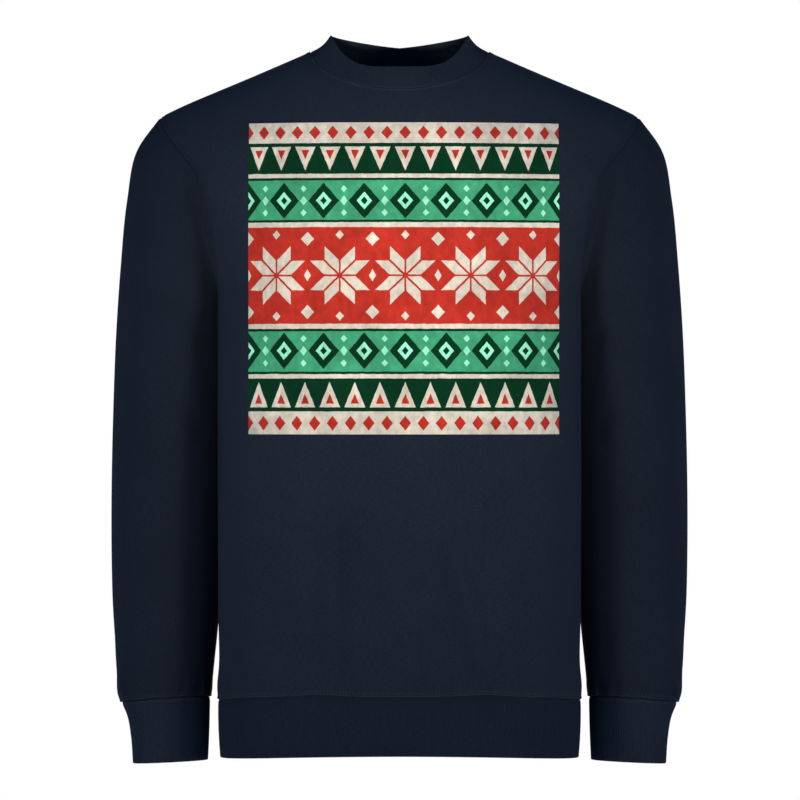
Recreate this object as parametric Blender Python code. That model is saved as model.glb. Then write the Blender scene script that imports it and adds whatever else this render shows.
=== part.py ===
"""A crew-neck sweatshirt, filled out as it is worn: hollow, and open at the neck, hem and cuffs.

Metres, +Z up. The front faces -Y and the wearer's left is +X. The origin is the middle of the neck
opening, level with the points where the shoulder seams reach the neckband. Each piece is a wall of
cloth: an outer grid of points worked out from the sizes below, the same grid moved in by the cloth's
thickness, and rims that join the two.
"""

from collections import defaultdict, namedtuple

import bmesh
import bpy
import numpy as np

# Cloth
FLEECE = 0.0016
RIB_DOUBLE = 0.0024
SEAM_GAP = 0.0003

# Neckline and shoulders
NECK_HALF_WIDTH = 0.0915
NECK_SIDE_Y = 0.004
SHOULDER_TIP = (0.2440, 0.0050, -0.0660)
UNDERARM = (0.1848, -0.0180, -0.2500)

# Grid counts: columns over half the neckline and over one shoulder, rows below and above the underarm
NECK_COLUMNS = 9
SHOULDER_COLUMNS = 7
LOWER_ROWS = 14
ARMHOLE_ROWS = 12
CHEST_ROW = 6
SLEEVE_ROWS = 26
BAND_ROWS = 3

# How the columns stand: even below one height, with the grain above another, crowded beside the neck
NECK_SHARE = NECK_HALF_WIDTH / SHOULDER_TIP[0]
NECK_CROWDING = 2.4
EVEN_BELOW_Z = -0.45
GRAIN_ABOVE_Z = -0.25

# How square a sleeve's rings are, points along a fine line, and how far directions at a seam may differ
SLEEVE_SQUARENESS = 2.2
CLOTH_ROUGHNESS = 0.92
SHARP_EDGE = np.radians(50)
FINE = 240
FOLDED_BACK = 0.3
MIRROR = np.array((-1, 1, 1))
NECKLINE_COLUMNS = slice(SHOULDER_COLUMNS, SHOULDER_COLUMNS + 2 * NECK_COLUMNS + 1)

# Middle lines of the two panels, seen from the side
Middle = namedtuple("Middle", "z front back")
MIDDLES = (
    Middle(-0.7200, -0.1190, 0.1140),
    Middle(-0.6605, -0.1225, 0.1170),
    Middle(-0.6480, -0.1260, 0.1205),
    Middle(-0.5800, -0.1280, 0.1195),
    Middle(-0.4600, -0.1295, 0.1165),
    Middle(-0.3400, -0.1300, 0.1210),
    Middle(-0.2500, -0.1285, 0.1275),
    Middle(-0.1900, -0.1250, 0.1290),
    Middle(-0.1300, -0.1160, 0.1250),
)

# Half width of the body, and the depth at which each panel's level sections turn straight back
Side = namedtuple("Side", "z half_width front back")
SIDES = (
    Side(-0.7200, 0.1820, -0.0220, -0.0220),
    Side(-0.6605, 0.1842, -0.0220, -0.0220),
    Side(-0.6480, 0.1852, -0.0230, -0.0230),
    Side(-0.6250, 0.1834, -0.0240, -0.0240),
    Side(-0.5800, 0.1838, -0.0250, -0.0250),
    Side(-0.4600, 0.1845, -0.0260, -0.0260),
    Side(-0.3400, 0.1846, -0.0240, -0.0240),
    Side(-0.2500, 0.1848, -0.0180, -0.0180),
    Side(-0.1900, 0.1848, -0.0040, -0.0160),
    Side(-0.1300, 0.1848, 0.0140, -0.0130),
)

# How square the level sections are: 2 is an ellipse
Squareness = namedtuple("Squareness", "z front back")
SQUARENESSES = (
    Squareness(-0.7200, 2.35, 2.15),
    Squareness(-0.4000, 2.40, 2.10),
    Squareness(-0.3000, 2.45, 2.12),
    Squareness(-0.2500, 2.50, 2.25),
    Squareness(-0.1200, 2.30, 2.25),
)

# The armhole seam, once round: tip of the shoulder, down the front, underarm, up the back
Point = namedtuple("Point", "x y z")
ARMHOLE = (
    Point(*SHOULDER_TIP),
    Point(0.2372, -0.0270, -0.0825),
    Point(0.2225, -0.0460, -0.1030),
    Point(0.2065, -0.0600, -0.1240),
    Point(0.1983, -0.0660, -0.1510),
    Point(0.1890, -0.0600, -0.2020),
    Point(0.1853, -0.0420, -0.2370),
    Point(*UNDERARM),
    Point(0.1853, 0.0060, -0.2370),
    Point(0.1885, 0.0460, -0.2130),
    Point(0.1950, 0.0660, -0.1750),
    Point(0.2075, 0.0670, -0.1370),
    Point(0.2280, 0.0460, -0.0950),
)
UNDERARM_INDEX = 7

# How far the middle of the neckline drops below its sides, how high the yoke would rise with no neckline,
# and how much the shoulder seam bows up
NECK_DROP = {"front": 0.0405, "back": 0.0130}
NECK_RISE = 0.0078
NECK_RISE_POWER = 5
SHOULDER_RISE = 0.0012
# Top of the neckband: half width, then depth and height at front, side and back
BAND_TOP_HALF_WIDTH = 0.0700
BAND_TOP_Y = {"front": -0.0595, "side": 0.0040, "back": 0.0530}
BAND_TOP_Z = {"front": -0.0175, "side": 0.0178, "back": 0.0070}
BAND_TOP_SAG = {"front": 4.2, "back": 1.25}

# How strongly the yoke columns hold their direction at the chest and at the top edge
CHEST_PULL = 0.9
TOP_PULL = 1.0

# Hem seam and bottom edge, raised a little at the front
HEM_SEAM_Z = {"front": -0.6535, "side": -0.6605, "back": -0.6590}
HEM_BOTTOM_Z = {"front": -0.7120, "side": -0.7175, "back": -0.7165}
HEM_FADE = 0.18

# Rings of the sleeve: ends seen from the front, then the middle and half of the depth
Ring = namedtuple("Ring", "outer_x outer_z inner_x inner_z y half_depth")
SLEEVE_RINGS = (
    Ring(0.2440, -0.0660, 0.1848, -0.2500, 0.0040, 0.0680),
    Ring(0.2682, -0.1010, 0.1853, -0.2570, 0.0060, 0.0700),
    Ring(0.2780, -0.1500, 0.1847, -0.2680, 0.0085, 0.0710),
    Ring(0.2848, -0.2180, 0.1837, -0.2880, 0.0120, 0.0700),
    Ring(0.2895, -0.2840, 0.1823, -0.3220, 0.0160, 0.0670),
    Ring(0.2928, -0.3650, 0.1812, -0.3780, 0.0190, 0.0630),
    Ring(0.2946, -0.4470, 0.1808, -0.4500, 0.0200, 0.0580),
    Ring(0.2946, -0.5080, 0.1815, -0.5080, 0.0190, 0.0530),
    Ring(0.2930, -0.5700, 0.1840, -0.5690, 0.0150, 0.0470),
    Ring(0.2896, -0.6310, 0.1893, -0.6280, 0.0090, 0.0390),
    Ring(0.2882, -0.6570, 0.1914, -0.6530, 0.0070, 0.0350),
    Ring(0.2834, -0.6660, 0.1933, -0.6594, 0.0065, 0.0320),
)
CUFF_RINGS = (
    SLEEVE_RINGS[-1],
    Ring(0.2782, -0.6765, 0.1936, -0.6720, 0.0062, 0.0290),
    Ring(0.2742, -0.6980, 0.1942, -0.6950, 0.0058, 0.0255),
    Ring(0.2722, -0.7258, 0.1954, -0.7220, 0.0055, 0.0240),
)
SLEEVE_HEAD_ROWS = 8
SLEEVE_CROWDING = 1.2

# Soft troughs in the cloth: middle, half length, half width, tilt from upright, and depth
Fold = namedtuple("Fold", "x z half_length half_width tilt depth")
FRONT_FOLDS = (
    Fold(-0.067, -0.560, 0.110, 0.020, 0, 0.0030),
    Fold(0.074, -0.575, 0.080, 0.020, -17, 0.0030),
)
BACK_FOLDS = (
    Fold(-0.080, -0.540, 0.110, 0.022, 6, 0.0035),
    Fold(0.055, -0.590, 0.080, 0.020, -10, 0.0030),
)

NAVY_FLEECE = (0.0116, 0.0168, 0.0319, 1.0)
NAVY_RIB = (0.0100, 0.0150, 0.0290, 1.0)

# A piece of cloth: its outer grid, the direction out of the cloth at each point, and whether it closes round
Piece = namedtuple("Piece", "name grid outward thickness closed color")


def cubic(known_at, known, at):
    """Reads a table smoothly: a cubic between each two rows, with slopes from the rows on either side."""
    slope = np.gradient(known, known_at, axis=0)
    row = np.clip(np.searchsorted(known_at, at, side="right") - 1, 0, len(known_at) - 2)
    span = known_at[row + 1] - known_at[row]
    t = (at - known_at[row]) / span
    shape = (-1,) + (1,) * (known.ndim - 1)
    t = t.reshape(shape)
    span = span.reshape(shape)
    start = (1 + 2 * t) * (1 - t) ** 2 * known[row] + t * (1 - t) ** 2 * span * slope[row]
    end = t**2 * (3 - 2 * t) * known[row + 1] - t**2 * (1 - t) * span * slope[row + 1]
    return start + end


def column(rows, name):
    return np.array([getattr(row, name) for row in rows])


def read(rows, name, z):
    """One column of a table at one height."""
    return float(cubic(column(rows, "z"), column(rows, name), np.array([z]))[0])


def lengths(line):
    return np.concatenate(([0.0], np.cumsum(np.linalg.norm(np.diff(line, axis=0), axis=1))))


def spaced(line, shares):
    """Points at the given shares of a line's length."""
    at = lengths(line)
    return np.stack([np.interp(shares * at[-1], at, line[:, i]) for i in range(3)], axis=1)


def unit(vectors):
    return vectors / np.linalg.norm(vectors, axis=-1, keepdims=True)


def armhole_half(first, last):
    """The armhole seam between two rows of its table, evenly spaced."""
    rows = np.array(ARMHOLE).take(range(first - 1, last + 2), axis=0, mode="wrap")
    at = lengths(rows)
    line = cubic(at, rows, np.linspace(at[1], at[-2], FINE))
    return spaced(line, np.linspace(0, 1, ARMHOLE_ROWS + 1))


def column_shares(z, yoke=0.0):
    """Where the columns stand between a panel's middle line and its edge.

    They are even at the hem, keep to the grain from the chest up, and close up beside the neck as
    the yoke share goes from 0 at the chest to 1 at the neckline.
    """
    even = np.linspace(0, 1, NECK_COLUMNS + SHOULDER_COLUMNS + 1)
    across = np.linspace(0, 1, NECK_COLUMNS + 1)
    crowded = 1 - (1 - across) ** NECK_CROWDING
    neck = NECK_SHARE * (across + (crowded - across) * yoke**2)
    shoulder = np.linspace(NECK_SHARE, 1, SHOULDER_COLUMNS + 1)
    grain = np.concatenate((neck, shoulder[1:]))
    rise = np.clip((z - EVEN_BELOW_Z) / (GRAIN_ABOVE_Z - EVEN_BELOW_Z), 0, 1)
    return even + (grain - even) * rise**2 * (3 - 2 * rise)


def half_section(name, z, edge_x, edge_y):
    """Half a level section of a panel, from its middle line round to its edge."""
    squareness = read(SQUARENESSES, name, z)
    middle_y = read(MIDDLES, name, z)
    side_y = read(SIDES, name, z)
    ahead = np.clip((edge_y - side_y) / (middle_y - side_y), 0, 1)
    turn = np.linspace(0, np.arccos(ahead ** (squareness / 2)), FINE)
    across = np.sin(turn) ** (2 / squareness)
    back = 1 - np.maximum(np.cos(turn), 0) ** (2 / squareness)
    x = edge_x * across / across[-1]
    y = middle_y + (edge_y - middle_y) * back / back[-1]
    return spaced(np.stack((x, y, np.full(FINE, z)), axis=1), column_shares(z))


def level_ring(name, z, rise):
    """Half a section below the underarm, with its middle raised above its side."""
    ring = half_section(name, z, read(SIDES, "half_width", z), read(SIDES, name, z))
    ring[:, 2] += rise * (1 - (ring[:, 0] / ring[-1, 0]) ** 2)
    return ring


def lower_rows(name):
    """Rows from the hem seam up to the underarm. The hem seam's curve fades out above it."""
    rows = []
    for z in np.linspace(HEM_SEAM_Z["side"], UNDERARM[2], LOWER_ROWS + 1):
        fade = max(0.0, 1 - (z - HEM_SEAM_Z["side"]) / HEM_FADE) ** 2
        rows.append(level_ring(name, z, (HEM_SEAM_Z[name] - HEM_SEAM_Z["side"]) * fade))
    return rows


def chest_rows(name, armhole):
    """Level rows from the underarm up to the chest, each ending on the armhole seam."""
    rows = []
    for x, y, z in armhole[1 : CHEST_ROW + 1]:
        rows.append(half_section(name, z, x, y))
    return rows


def ridge(shares):
    """Where columns would cross the top of the shoulder, with the neck opening filled in."""
    beside = np.clip(shares / NECK_SHARE, 0, 1)
    rise = NECK_RISE * (1 - beside**NECK_RISE_POWER)
    neck = np.stack((NECK_HALF_WIDTH * beside, np.full_like(beside, NECK_SIDE_Y), rise), axis=1)
    out = np.clip((shares - NECK_SHARE) / (1 - NECK_SHARE), 0, 1)[:, None]
    crown = np.sin(out**3 * np.pi) * (0, 0, SHOULDER_RISE)
    return neck + (np.array(SHOULDER_TIP) - neck) * out + crown


def neckline_place(name, line):
    """How far up a column's line the neckline crosses it, from 0 to 1."""
    across = np.clip(line[:, 0] / NECK_HALF_WIDTH, 0, 1)
    above = line[:, 2] + NECK_DROP[name] * np.sqrt(1 - across**2)
    after = int(np.argmax(above >= 0))
    share = -above[after - 1] / (above[after] - above[after - 1])
    return (after - 1 + share) / (len(line) - 1)


def yoke_surface(name, below, chest, shares):
    """A function that gives the yoke's points: over the ridge from the chest row, read at any shares."""
    dense = np.linspace(0, 1, FINE)
    chest_line = [np.interp(dense, shares, chest[:, i]) for i in range(3)]
    below_line = [np.interp(dense, shares, below[:, i]) for i in range(3)]
    chest_line = np.stack(chest_line, axis=1)
    upward = unit(chest_line - np.stack(below_line, axis=1))
    top = ridge(dense)
    span = np.linalg.norm(top - chest_line, axis=1, keepdims=True)
    inward = 1.0 if name == "front" else -1.0
    start = upward * span * CHEST_PULL
    end = np.array((0, inward, 0)) * span * TOP_PULL

    def at(share, t):
        t = np.reshape(t, (-1, 1))
        low, high, up, over = (
            np.stack([np.interp(share, dense, line[:, i]) for i in range(3)], axis=-1)
            for line in (chest_line, top, start, end)
        )
        rise = (1 + 2 * t) * (1 - t) ** 2 * low + t * (1 - t) ** 2 * up
        return rise + t**2 * (3 - 2 * t) * high - t**2 * (1 - t) * over

    return at


def yoke_rows(name, below, chest, armhole):
    """Rows from the chest to the neckline and the shoulder seam."""
    at = yoke_surface(name, below, chest, column_shares(0))
    stop = np.ones(chest.shape[0])
    for c, share in enumerate(column_shares(0, yoke=1)[:NECK_COLUMNS]):
        line = at(np.full(FINE, share), np.linspace(0, 1, FINE))
        stop[c] = neckline_place(name, line)
    rows = []
    steps = ARMHOLE_ROWS - CHEST_ROW
    for i in range(1, steps + 1):
        shares = column_shares(0, yoke=i / steps)
        row = at(shares, stop * i / steps)
        rows.append(row + (armhole[CHEST_ROW + i] - row[-1]) * shares[:, None] ** 3)
    return rows


def panel(name):
    """The outer grid of the front or back: rows go up, columns go round as seen from outside."""
    if name == "front":
        armhole = armhole_half(0, UNDERARM_INDEX)[::-1]
    else:
        armhole = armhole_half(UNDERARM_INDEX, len(ARMHOLE))
    rows = lower_rows(name) + chest_rows(name, armhole)
    rows += yoke_rows(name, rows[-2], rows[-1], armhole)
    grid = np.array([both_sides(row) for row in rows])
    return grid if name == "front" else grid[:, ::-1]


def ring_table(rings, count, crowding=1.0):
    """A table of rings read along its outer line, evenly or crowded towards its top."""
    rows = np.array(rings)
    at = lengths(rows[:, :2])
    return cubic(at, rows, np.linspace(0, 1, count) ** crowding * at[-1])


def oval(ring):
    """One ring of a sleeve or cuff, from its outer end round the front and back."""
    outer = np.array((ring[0], ring[4], ring[1]))
    inner = np.array((ring[2], ring[4], ring[3]))
    middle = (outer + inner) / 2
    turn = np.linspace(0, np.pi, FINE)
    long = np.sign(np.cos(turn)) * np.abs(np.cos(turn)) ** (2 / SLEEVE_SQUARENESS)
    deep = np.sin(turn) ** (2 / SLEEVE_SQUARENESS)
    shares = np.linspace(0, 1, ARMHOLE_ROWS + 1)
    forward = np.outer(deep * ring[5], (0, -1, 0))
    front = spaced(middle + np.outer(long, outer - middle) + forward, shares)
    back = spaced(middle + np.outer(long, outer - middle) - forward, shares)
    return np.concatenate((front, back[-2:0:-1]))


def sleeve_grid():
    """The left sleeve: rings from the armhole seam down to the cuff seam."""
    rings = ring_table(SLEEVE_RINGS, SLEEVE_ROWS + 1, SLEEVE_CROWDING)
    front = armhole_half(0, UNDERARM_INDEX)
    back = armhole_half(UNDERARM_INDEX, len(ARMHOLE))
    seam = np.concatenate((front, back[1:-1]))
    grid = np.array([oval(ring) for ring in rings])
    off_oval = seam - grid[0]
    for i in range(SLEEVE_HEAD_ROWS):
        grid[i] += off_oval * (1 - i / SLEEVE_HEAD_ROWS) ** 2
    return grid


def cuff_grid():
    return np.array([oval(ring) for ring in ring_table(CUFF_RINGS, BAND_ROWS + 1)])


def both_sides(half):
    """A line across the body from the half on the wearer's left."""
    return np.concatenate((half[:0:-1] * MIRROR, half))


def joined(front, back):
    """A closed row from a front row and a back row that meet at both sides."""
    return np.concatenate((front, back[1:-1]))


def hem_grid(front, back):
    """The hem band, from its bottom edge up to the seam."""
    halves = []
    for name in ("front", "back"):
        side_z = HEM_BOTTOM_Z["side"]
        line = both_sides(level_ring(name, side_z, HEM_BOTTOM_Z[name] - side_z))
        halves.append(line if name == "front" else line[::-1])
    bottom = joined(*halves)
    seam = joined(front[0], back[0])
    return np.array([bottom + (seam - bottom) * t for t in np.linspace(0, 1, BAND_ROWS + 1)])


def band_top(name):
    """Half the folded edge of the neckband, from its middle to its side."""
    turn = np.linspace(0, np.pi / 2, NECK_COLUMNS + 1)
    x = BAND_TOP_HALF_WIDTH * np.sin(turn)
    y = BAND_TOP_Y["side"] + (BAND_TOP_Y[name] - BAND_TOP_Y["side"]) * np.cos(turn)
    rise = np.sin(turn) ** BAND_TOP_SAG[name]
    z = BAND_TOP_Z[name] + (BAND_TOP_Z["side"] - BAND_TOP_Z[name]) * rise
    return np.stack((x, y, z), axis=1)


def neck_grid(front, back):
    """The neckband, from the neck seam up to its folded edge."""
    seam = joined(front[-1, NECKLINE_COLUMNS], back[-1, NECKLINE_COLUMNS])
    top = joined(both_sides(band_top("front")), both_sides(band_top("back"))[::-1])
    return np.array([seam + (top - seam) * t for t in np.linspace(0, 1, BAND_ROWS + 1)])


def facing(grid, closed):
    """The outward direction at every point of a grid, shared out from the faces around it."""
    points = np.concatenate((grid, grid[:, :1]), axis=1) if closed else grid
    faces = np.cross(points[1:, 1:] - points[:-1, :-1], points[1:, :-1] - points[:-1, 1:])
    total = np.zeros_like(points)
    for rows in (slice(None, -1), slice(1, None)):
        for columns in (slice(None, -1), slice(1, None)):
            total[rows, columns] += faces
    if closed:
        total[:, 0] += total[:, -1]
        total = total[:, :-1]
    return unit(total)


def edges(piece):
    """The places of a piece's open edges in its grid."""
    rows, columns = piece.grid.shape[:2]
    ends = () if piece.closed else (0, columns - 1)
    top_and_bottom = [(r, c) for r in (0, rows - 1) for c in range(columns)]
    return top_and_bottom + [(r, c) for c in ends for r in range(1, rows - 1)]


def share_directions(pieces):
    """Points that meet at a seam get one direction, so that cut faces lie parallel.

    A direction that turns too far from the others is left as it is.
    """
    meeting = defaultdict(list)
    for piece in pieces:
        for place in edges(piece):
            meeting[tuple(np.round(piece.grid[place], 5))].append(piece.outward[place])
    for directions in meeting.values():
        shared = unit(sum(directions))
        for direction in directions:
            if direction @ shared > FOLDED_BACK:
                direction[:] = shared


def press_folds(piece, folds):
    """Moves a panel's points in along its soft troughs."""
    grid = piece.grid
    for fold in folds:
        tilt = np.radians(fold.tilt)
        x = grid[..., 0] - fold.x
        z = grid[..., 2] - fold.z
        across = x * np.cos(tilt) - z * np.sin(tilt)
        along = x * np.sin(tilt) + z * np.cos(tilt)
        depth = np.exp(-((across / fold.half_width) ** 2) - (along / fold.half_length) ** 4)
        grid -= fold.depth * depth[..., None] * piece.outward


def trim(piece, stretches):
    """Pulls stretches of a piece's edge back from their seams by half the gap, square to each seam."""
    move = np.zeros_like(piece.grid)
    for edge, neighbour in stretches:
        line = piece.grid[edge]
        if piece.closed:
            along = np.roll(line, -1, axis=0) - np.roll(line, 1, axis=0)
        else:
            along = np.gradient(line, axis=0)
        into = unit(np.cross(along, piece.outward[edge]))
        into *= np.sign(np.sum(into * (piece.grid[neighbour] - line), axis=1, keepdims=True))
        move[edge] += into * SEAM_GAP / 2
    piece.grid[:] += move


def stand_off(sleeve):
    """Moves a sleeve's first ring off the armhole by the gap, square to the seam."""
    armhole = np.subtract(SHOULDER_TIP, UNDERARM) * (1, 0, 1)
    away = np.cross((0, 1, 0), unit(armhole))
    along = unit(np.roll(sleeve[0], -1, axis=0) - np.roll(sleeve[0], 1, axis=0))
    square = away - along * np.sum(along * away, axis=1, keepdims=True)
    sleeve[0] += unit(square) * SEAM_GAP


def material(name, color):
    made = bpy.data.materials.new(name)
    made.use_nodes = True
    shader = made.node_tree.nodes["Principled BSDF"]
    shader.inputs["Base Color"].default_value = color
    shader.inputs["Roughness"].default_value = CLOTH_ROUGHNESS
    shader.inputs["Metallic"].default_value = 0.0
    return made


def cloth(piece):
    """One piece as a closed wall: outer grid, inner grid, and rims along every open edge."""
    rows, columns = piece.grid.shape[:2]
    inner_grid = piece.grid - piece.outward * piece.thickness
    shell = bmesh.new()
    outer = [[shell.verts.new(point) for point in row] for row in piece.grid]
    inner = [[shell.verts.new(point) for point in row] for row in inner_grid]
    spans = columns if piece.closed else columns - 1
    for r in range(rows - 1):
        for c in range(spans):
            d = (c + 1) % columns
            shell.faces.new((outer[r][c], outer[r][d], outer[r + 1][d], outer[r + 1][c]))
            shell.faces.new((inner[r][c], inner[r + 1][c], inner[r + 1][d], inner[r][d]))
    for r in (0, rows - 1):
        for c in range(spans):
            d = (c + 1) % columns
            shell.faces.new((outer[r][c], inner[r][c], inner[r][d], outer[r][d]))
    if not piece.closed:
        for c in (0, columns - 1):
            for r in range(rows - 1):
                shell.faces.new((outer[r][c], outer[r + 1][c], inner[r + 1][c], inner[r][c]))
    bmesh.ops.recalc_face_normals(shell, faces=shell.faces)
    mesh = bpy.data.meshes.new(piece.name)
    shell.to_mesh(mesh)
    shell.free()
    mesh.shade_smooth()
    mesh.set_sharp_from_angle(angle=SHARP_EDGE)
    mesh.materials.append(material(piece.name, piece.color))
    made = bpy.data.objects.new(piece.name, mesh)
    bpy.context.scene.collection.objects.link(made)


def mirrored(piece, name):
    """The same piece for the other side."""
    grid = piece.grid[:, ::-1] * MIRROR
    return piece._replace(name=name, grid=grid, outward=piece.outward[:, ::-1] * MIRROR)


def piece_of(name, grid, thickness, closed, color):
    return Piece(name, grid, facing(grid, closed), thickness, closed, color)


def panel_stretches():
    """Each seam of a panel as its edge and the line of points beside it, but for the armholes."""
    side = slice(0, LOWER_ROWS + 1)
    first_shoulder = slice(0, SHOULDER_COLUMNS + 1)
    last_shoulder = slice(-SHOULDER_COLUMNS - 1, None)
    across = slice(None)
    tops = [((-1, c), (-2, c)) for c in (first_shoulder, NECKLINE_COLUMNS, last_shoulder)]
    sides = [((side, 0), (side, 1)), ((side, -1), (side, -2))]
    return tops + sides + [((0, across), (1, across))]


def sweatshirt():
    front_grid = panel("front")
    back_grid = panel("back")
    hem_line = hem_grid(front_grid, back_grid)
    neck_line = neck_grid(front_grid, back_grid)
    front = piece_of("front", front_grid, FLEECE, False, NAVY_FLEECE)
    back = piece_of("back", back_grid, FLEECE, False, NAVY_FLEECE)
    press_folds(front, FRONT_FOLDS)
    press_folds(back, BACK_FOLDS)
    hem = piece_of("hem_band", hem_line, RIB_DOUBLE, True, NAVY_RIB)
    neck = piece_of("neckband", neck_line, RIB_DOUBLE, True, NAVY_RIB)
    sleeve = piece_of("sleeve_left", sleeve_grid(), FLEECE, True, NAVY_FLEECE)
    cuff = piece_of("cuff_left", cuff_grid(), RIB_DOUBLE, True, NAVY_RIB)
    pieces = [front, back, hem, neck, sleeve, cuff]
    pieces += [mirrored(sleeve, "sleeve_right"), mirrored(cuff, "cuff_right")]
    share_directions(pieces)

    bottom = [((0, slice(None)), (1, slice(None)))]
    top = [((-1, slice(None)), (-2, slice(None)))]
    seams = {"front": panel_stretches(), "back": panel_stretches()}
    seams |= {"hem": top, "neckband": bottom, "sleeve": top, "cuff": bottom}
    for piece in pieces:
        trim(piece, seams[piece.name.split("_")[0]])
    stand_off(sleeve.grid)
    pieces[-2] = mirrored(sleeve, "sleeve_right")
    for piece in pieces:
        cloth(piece)


for old in list(bpy.data.objects):
    bpy.data.objects.remove(old)
sweatshirt()
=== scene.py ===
from collections import namedtuple

import bmesh
import bpy
import numpy as np
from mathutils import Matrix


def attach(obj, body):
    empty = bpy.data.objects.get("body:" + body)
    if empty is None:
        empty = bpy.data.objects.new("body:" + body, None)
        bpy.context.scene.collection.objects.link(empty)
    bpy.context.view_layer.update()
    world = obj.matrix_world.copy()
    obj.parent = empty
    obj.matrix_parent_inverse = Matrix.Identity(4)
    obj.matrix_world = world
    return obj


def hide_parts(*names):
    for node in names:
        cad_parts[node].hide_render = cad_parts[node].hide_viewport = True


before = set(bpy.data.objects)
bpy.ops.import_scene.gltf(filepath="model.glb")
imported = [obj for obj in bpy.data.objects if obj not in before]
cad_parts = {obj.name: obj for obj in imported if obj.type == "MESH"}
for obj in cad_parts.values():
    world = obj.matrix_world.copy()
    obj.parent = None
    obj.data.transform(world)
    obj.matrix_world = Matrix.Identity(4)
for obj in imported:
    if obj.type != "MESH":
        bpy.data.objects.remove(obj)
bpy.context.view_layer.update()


# ---------------------------------------------------------------------------------------------
# Camera: level, straight in front of the chest, six metres off, so that the sweatshirt stands in
# the frame as a catalogue photograph shows it.

PIXEL = 0.00102
PICTURE = 800
NECK_POINT_ROW = 52
CAMERA_DISTANCE = 6.0
camera_data = bpy.data.cameras.new("Camera")
camera_data.sensor_width = 36
camera_data.lens = camera_data.sensor_width * CAMERA_DISTANCE / (PICTURE * PIXEL)
camera_data.dof.use_dof = False
camera = bpy.data.objects.new("Camera", camera_data)
camera.location = (0.5 * PIXEL, -CAMERA_DISTANCE, (NECK_POINT_ROW - PICTURE / 2) * PIXEL)
camera.rotation_euler = (np.pi / 2, 0, 0)
bpy.context.scene.collection.objects.link(camera)
bpy.context.scene.camera = camera


# ---------------------------------------------------------------------------------------------
# Front and back: two panels of brushed-back cotton fleece, cut from the roll and sewn together at
# the shoulders and sides. Each is drawn as level lines of cloth from the hem seam up to the
# underarm, on to the armhole seam, and then over the yoke to the neckline and the shoulder seam.

FLEECE = 0.0016
NECK_HALF_WIDTH = 0.0915
NECK_SIDE_Y = 0.004
SHOULDER_TIP = (0.2440, 0.0050, -0.0660)
UNDERARM = (0.1848, -0.0180, -0.2500)
NECK_COLUMNS = 63
SHOULDER_COLUMNS = 49
LOWER_ROWS = 84
ARMHOLE_ROWS = 72
CHEST_ROW = 36
NECK_SHARE = NECK_HALF_WIDTH / SHOULDER_TIP[0]
NECK_CROWDING = 2.4
EVEN_BELOW_Z = -0.45
GRAIN_ABOVE_Z = -0.25
FINE = 1500
MIRROR = np.array((-1, 1, 1))
NECKLINE = slice(SHOULDER_COLUMNS, SHOULDER_COLUMNS + 2 * NECK_COLUMNS + 1)

Middle = namedtuple("Middle", "z front back")
MIDDLES = (
    Middle(-0.7200, -0.1190, 0.1140),
    Middle(-0.6605, -0.1225, 0.1170),
    Middle(-0.6480, -0.1260, 0.1205),
    Middle(-0.5800, -0.1280, 0.1195),
    Middle(-0.4600, -0.1295, 0.1165),
    Middle(-0.3400, -0.1300, 0.1210),
    Middle(-0.2500, -0.1285, 0.1275),
    Middle(-0.1900, -0.1250, 0.1290),
    Middle(-0.1300, -0.1160, 0.1250),
)
Side = namedtuple("Side", "z half_width front back")
SIDES = (
    Side(-0.7200, 0.1820, -0.0220, -0.0220),
    Side(-0.6605, 0.1842, -0.0220, -0.0220),
    Side(-0.6480, 0.1852, -0.0230, -0.0230),
    Side(-0.6250, 0.1834, -0.0240, -0.0240),
    Side(-0.5800, 0.1838, -0.0250, -0.0250),
    Side(-0.4600, 0.1845, -0.0260, -0.0260),
    Side(-0.3400, 0.1846, -0.0240, -0.0240),
    Side(-0.2500, 0.1848, -0.0180, -0.0180),
    Side(-0.1900, 0.1848, -0.0040, -0.0160),
    Side(-0.1300, 0.1848, 0.0140, -0.0130),
)
Squareness = namedtuple("Squareness", "z front back")
SQUARENESSES = (
    Squareness(-0.7200, 2.35, 2.15),
    Squareness(-0.4000, 2.40, 2.10),
    Squareness(-0.3000, 2.45, 2.12),
    Squareness(-0.2500, 2.50, 2.25),
    Squareness(-0.1200, 2.30, 2.25),
)
Point = namedtuple("Point", "x y z")
ARMHOLE = (
    Point(*SHOULDER_TIP),
    Point(0.2372, -0.0270, -0.0825),
    Point(0.2225, -0.0460, -0.1030),
    Point(0.2065, -0.0600, -0.1240),
    Point(0.1983, -0.0660, -0.1510),
    Point(0.1890, -0.0600, -0.2020),
    Point(0.1853, -0.0420, -0.2370),
    Point(*UNDERARM),
    Point(0.1853, 0.0060, -0.2370),
    Point(0.1885, 0.0460, -0.2130),
    Point(0.1950, 0.0660, -0.1750),
    Point(0.2075, 0.0670, -0.1370),
    Point(0.2280, 0.0460, -0.0950),
)
UNDERARM_INDEX = 7
NECK_DROP = {"front": 0.0405, "back": 0.0130}
NECK_RISE = 0.0078
NECK_RISE_POWER = 5
SHOULDER_RISE = 0.0012
CHEST_PULL = 0.9
TOP_PULL = 1.0
HEM_SEAM_Z = {"front": -0.6535, "side": -0.6605, "back": -0.6590}
HEM_FADE = 0.18
# The hem seam rides up a little on either side of the front: how far, at how far from the middle
HEM_WAVE = (
    (0, 0), (0.030, 0.0002), (0.055, 0.0012), (0.080, 0.0030),
    (0.110, 0.0026), (0.145, 0.0024), (0.170, 0.0020), (0.186, 0.0006),
)


def smooth(t):
    """From 0 to 1 with a soft start and a soft end."""
    return t**2 * (3 - 2 * t)


def curve(t, low, leaving, high, arriving):
    """A smooth run from one value to another, by how steeply it leaves and arrives."""
    rise = (1 + 2 * t) * (1 - t) ** 2 * low + t * (1 - t) ** 2 * leaving
    return rise + smooth(t) * high - t**2 * (1 - t) * arriving


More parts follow.
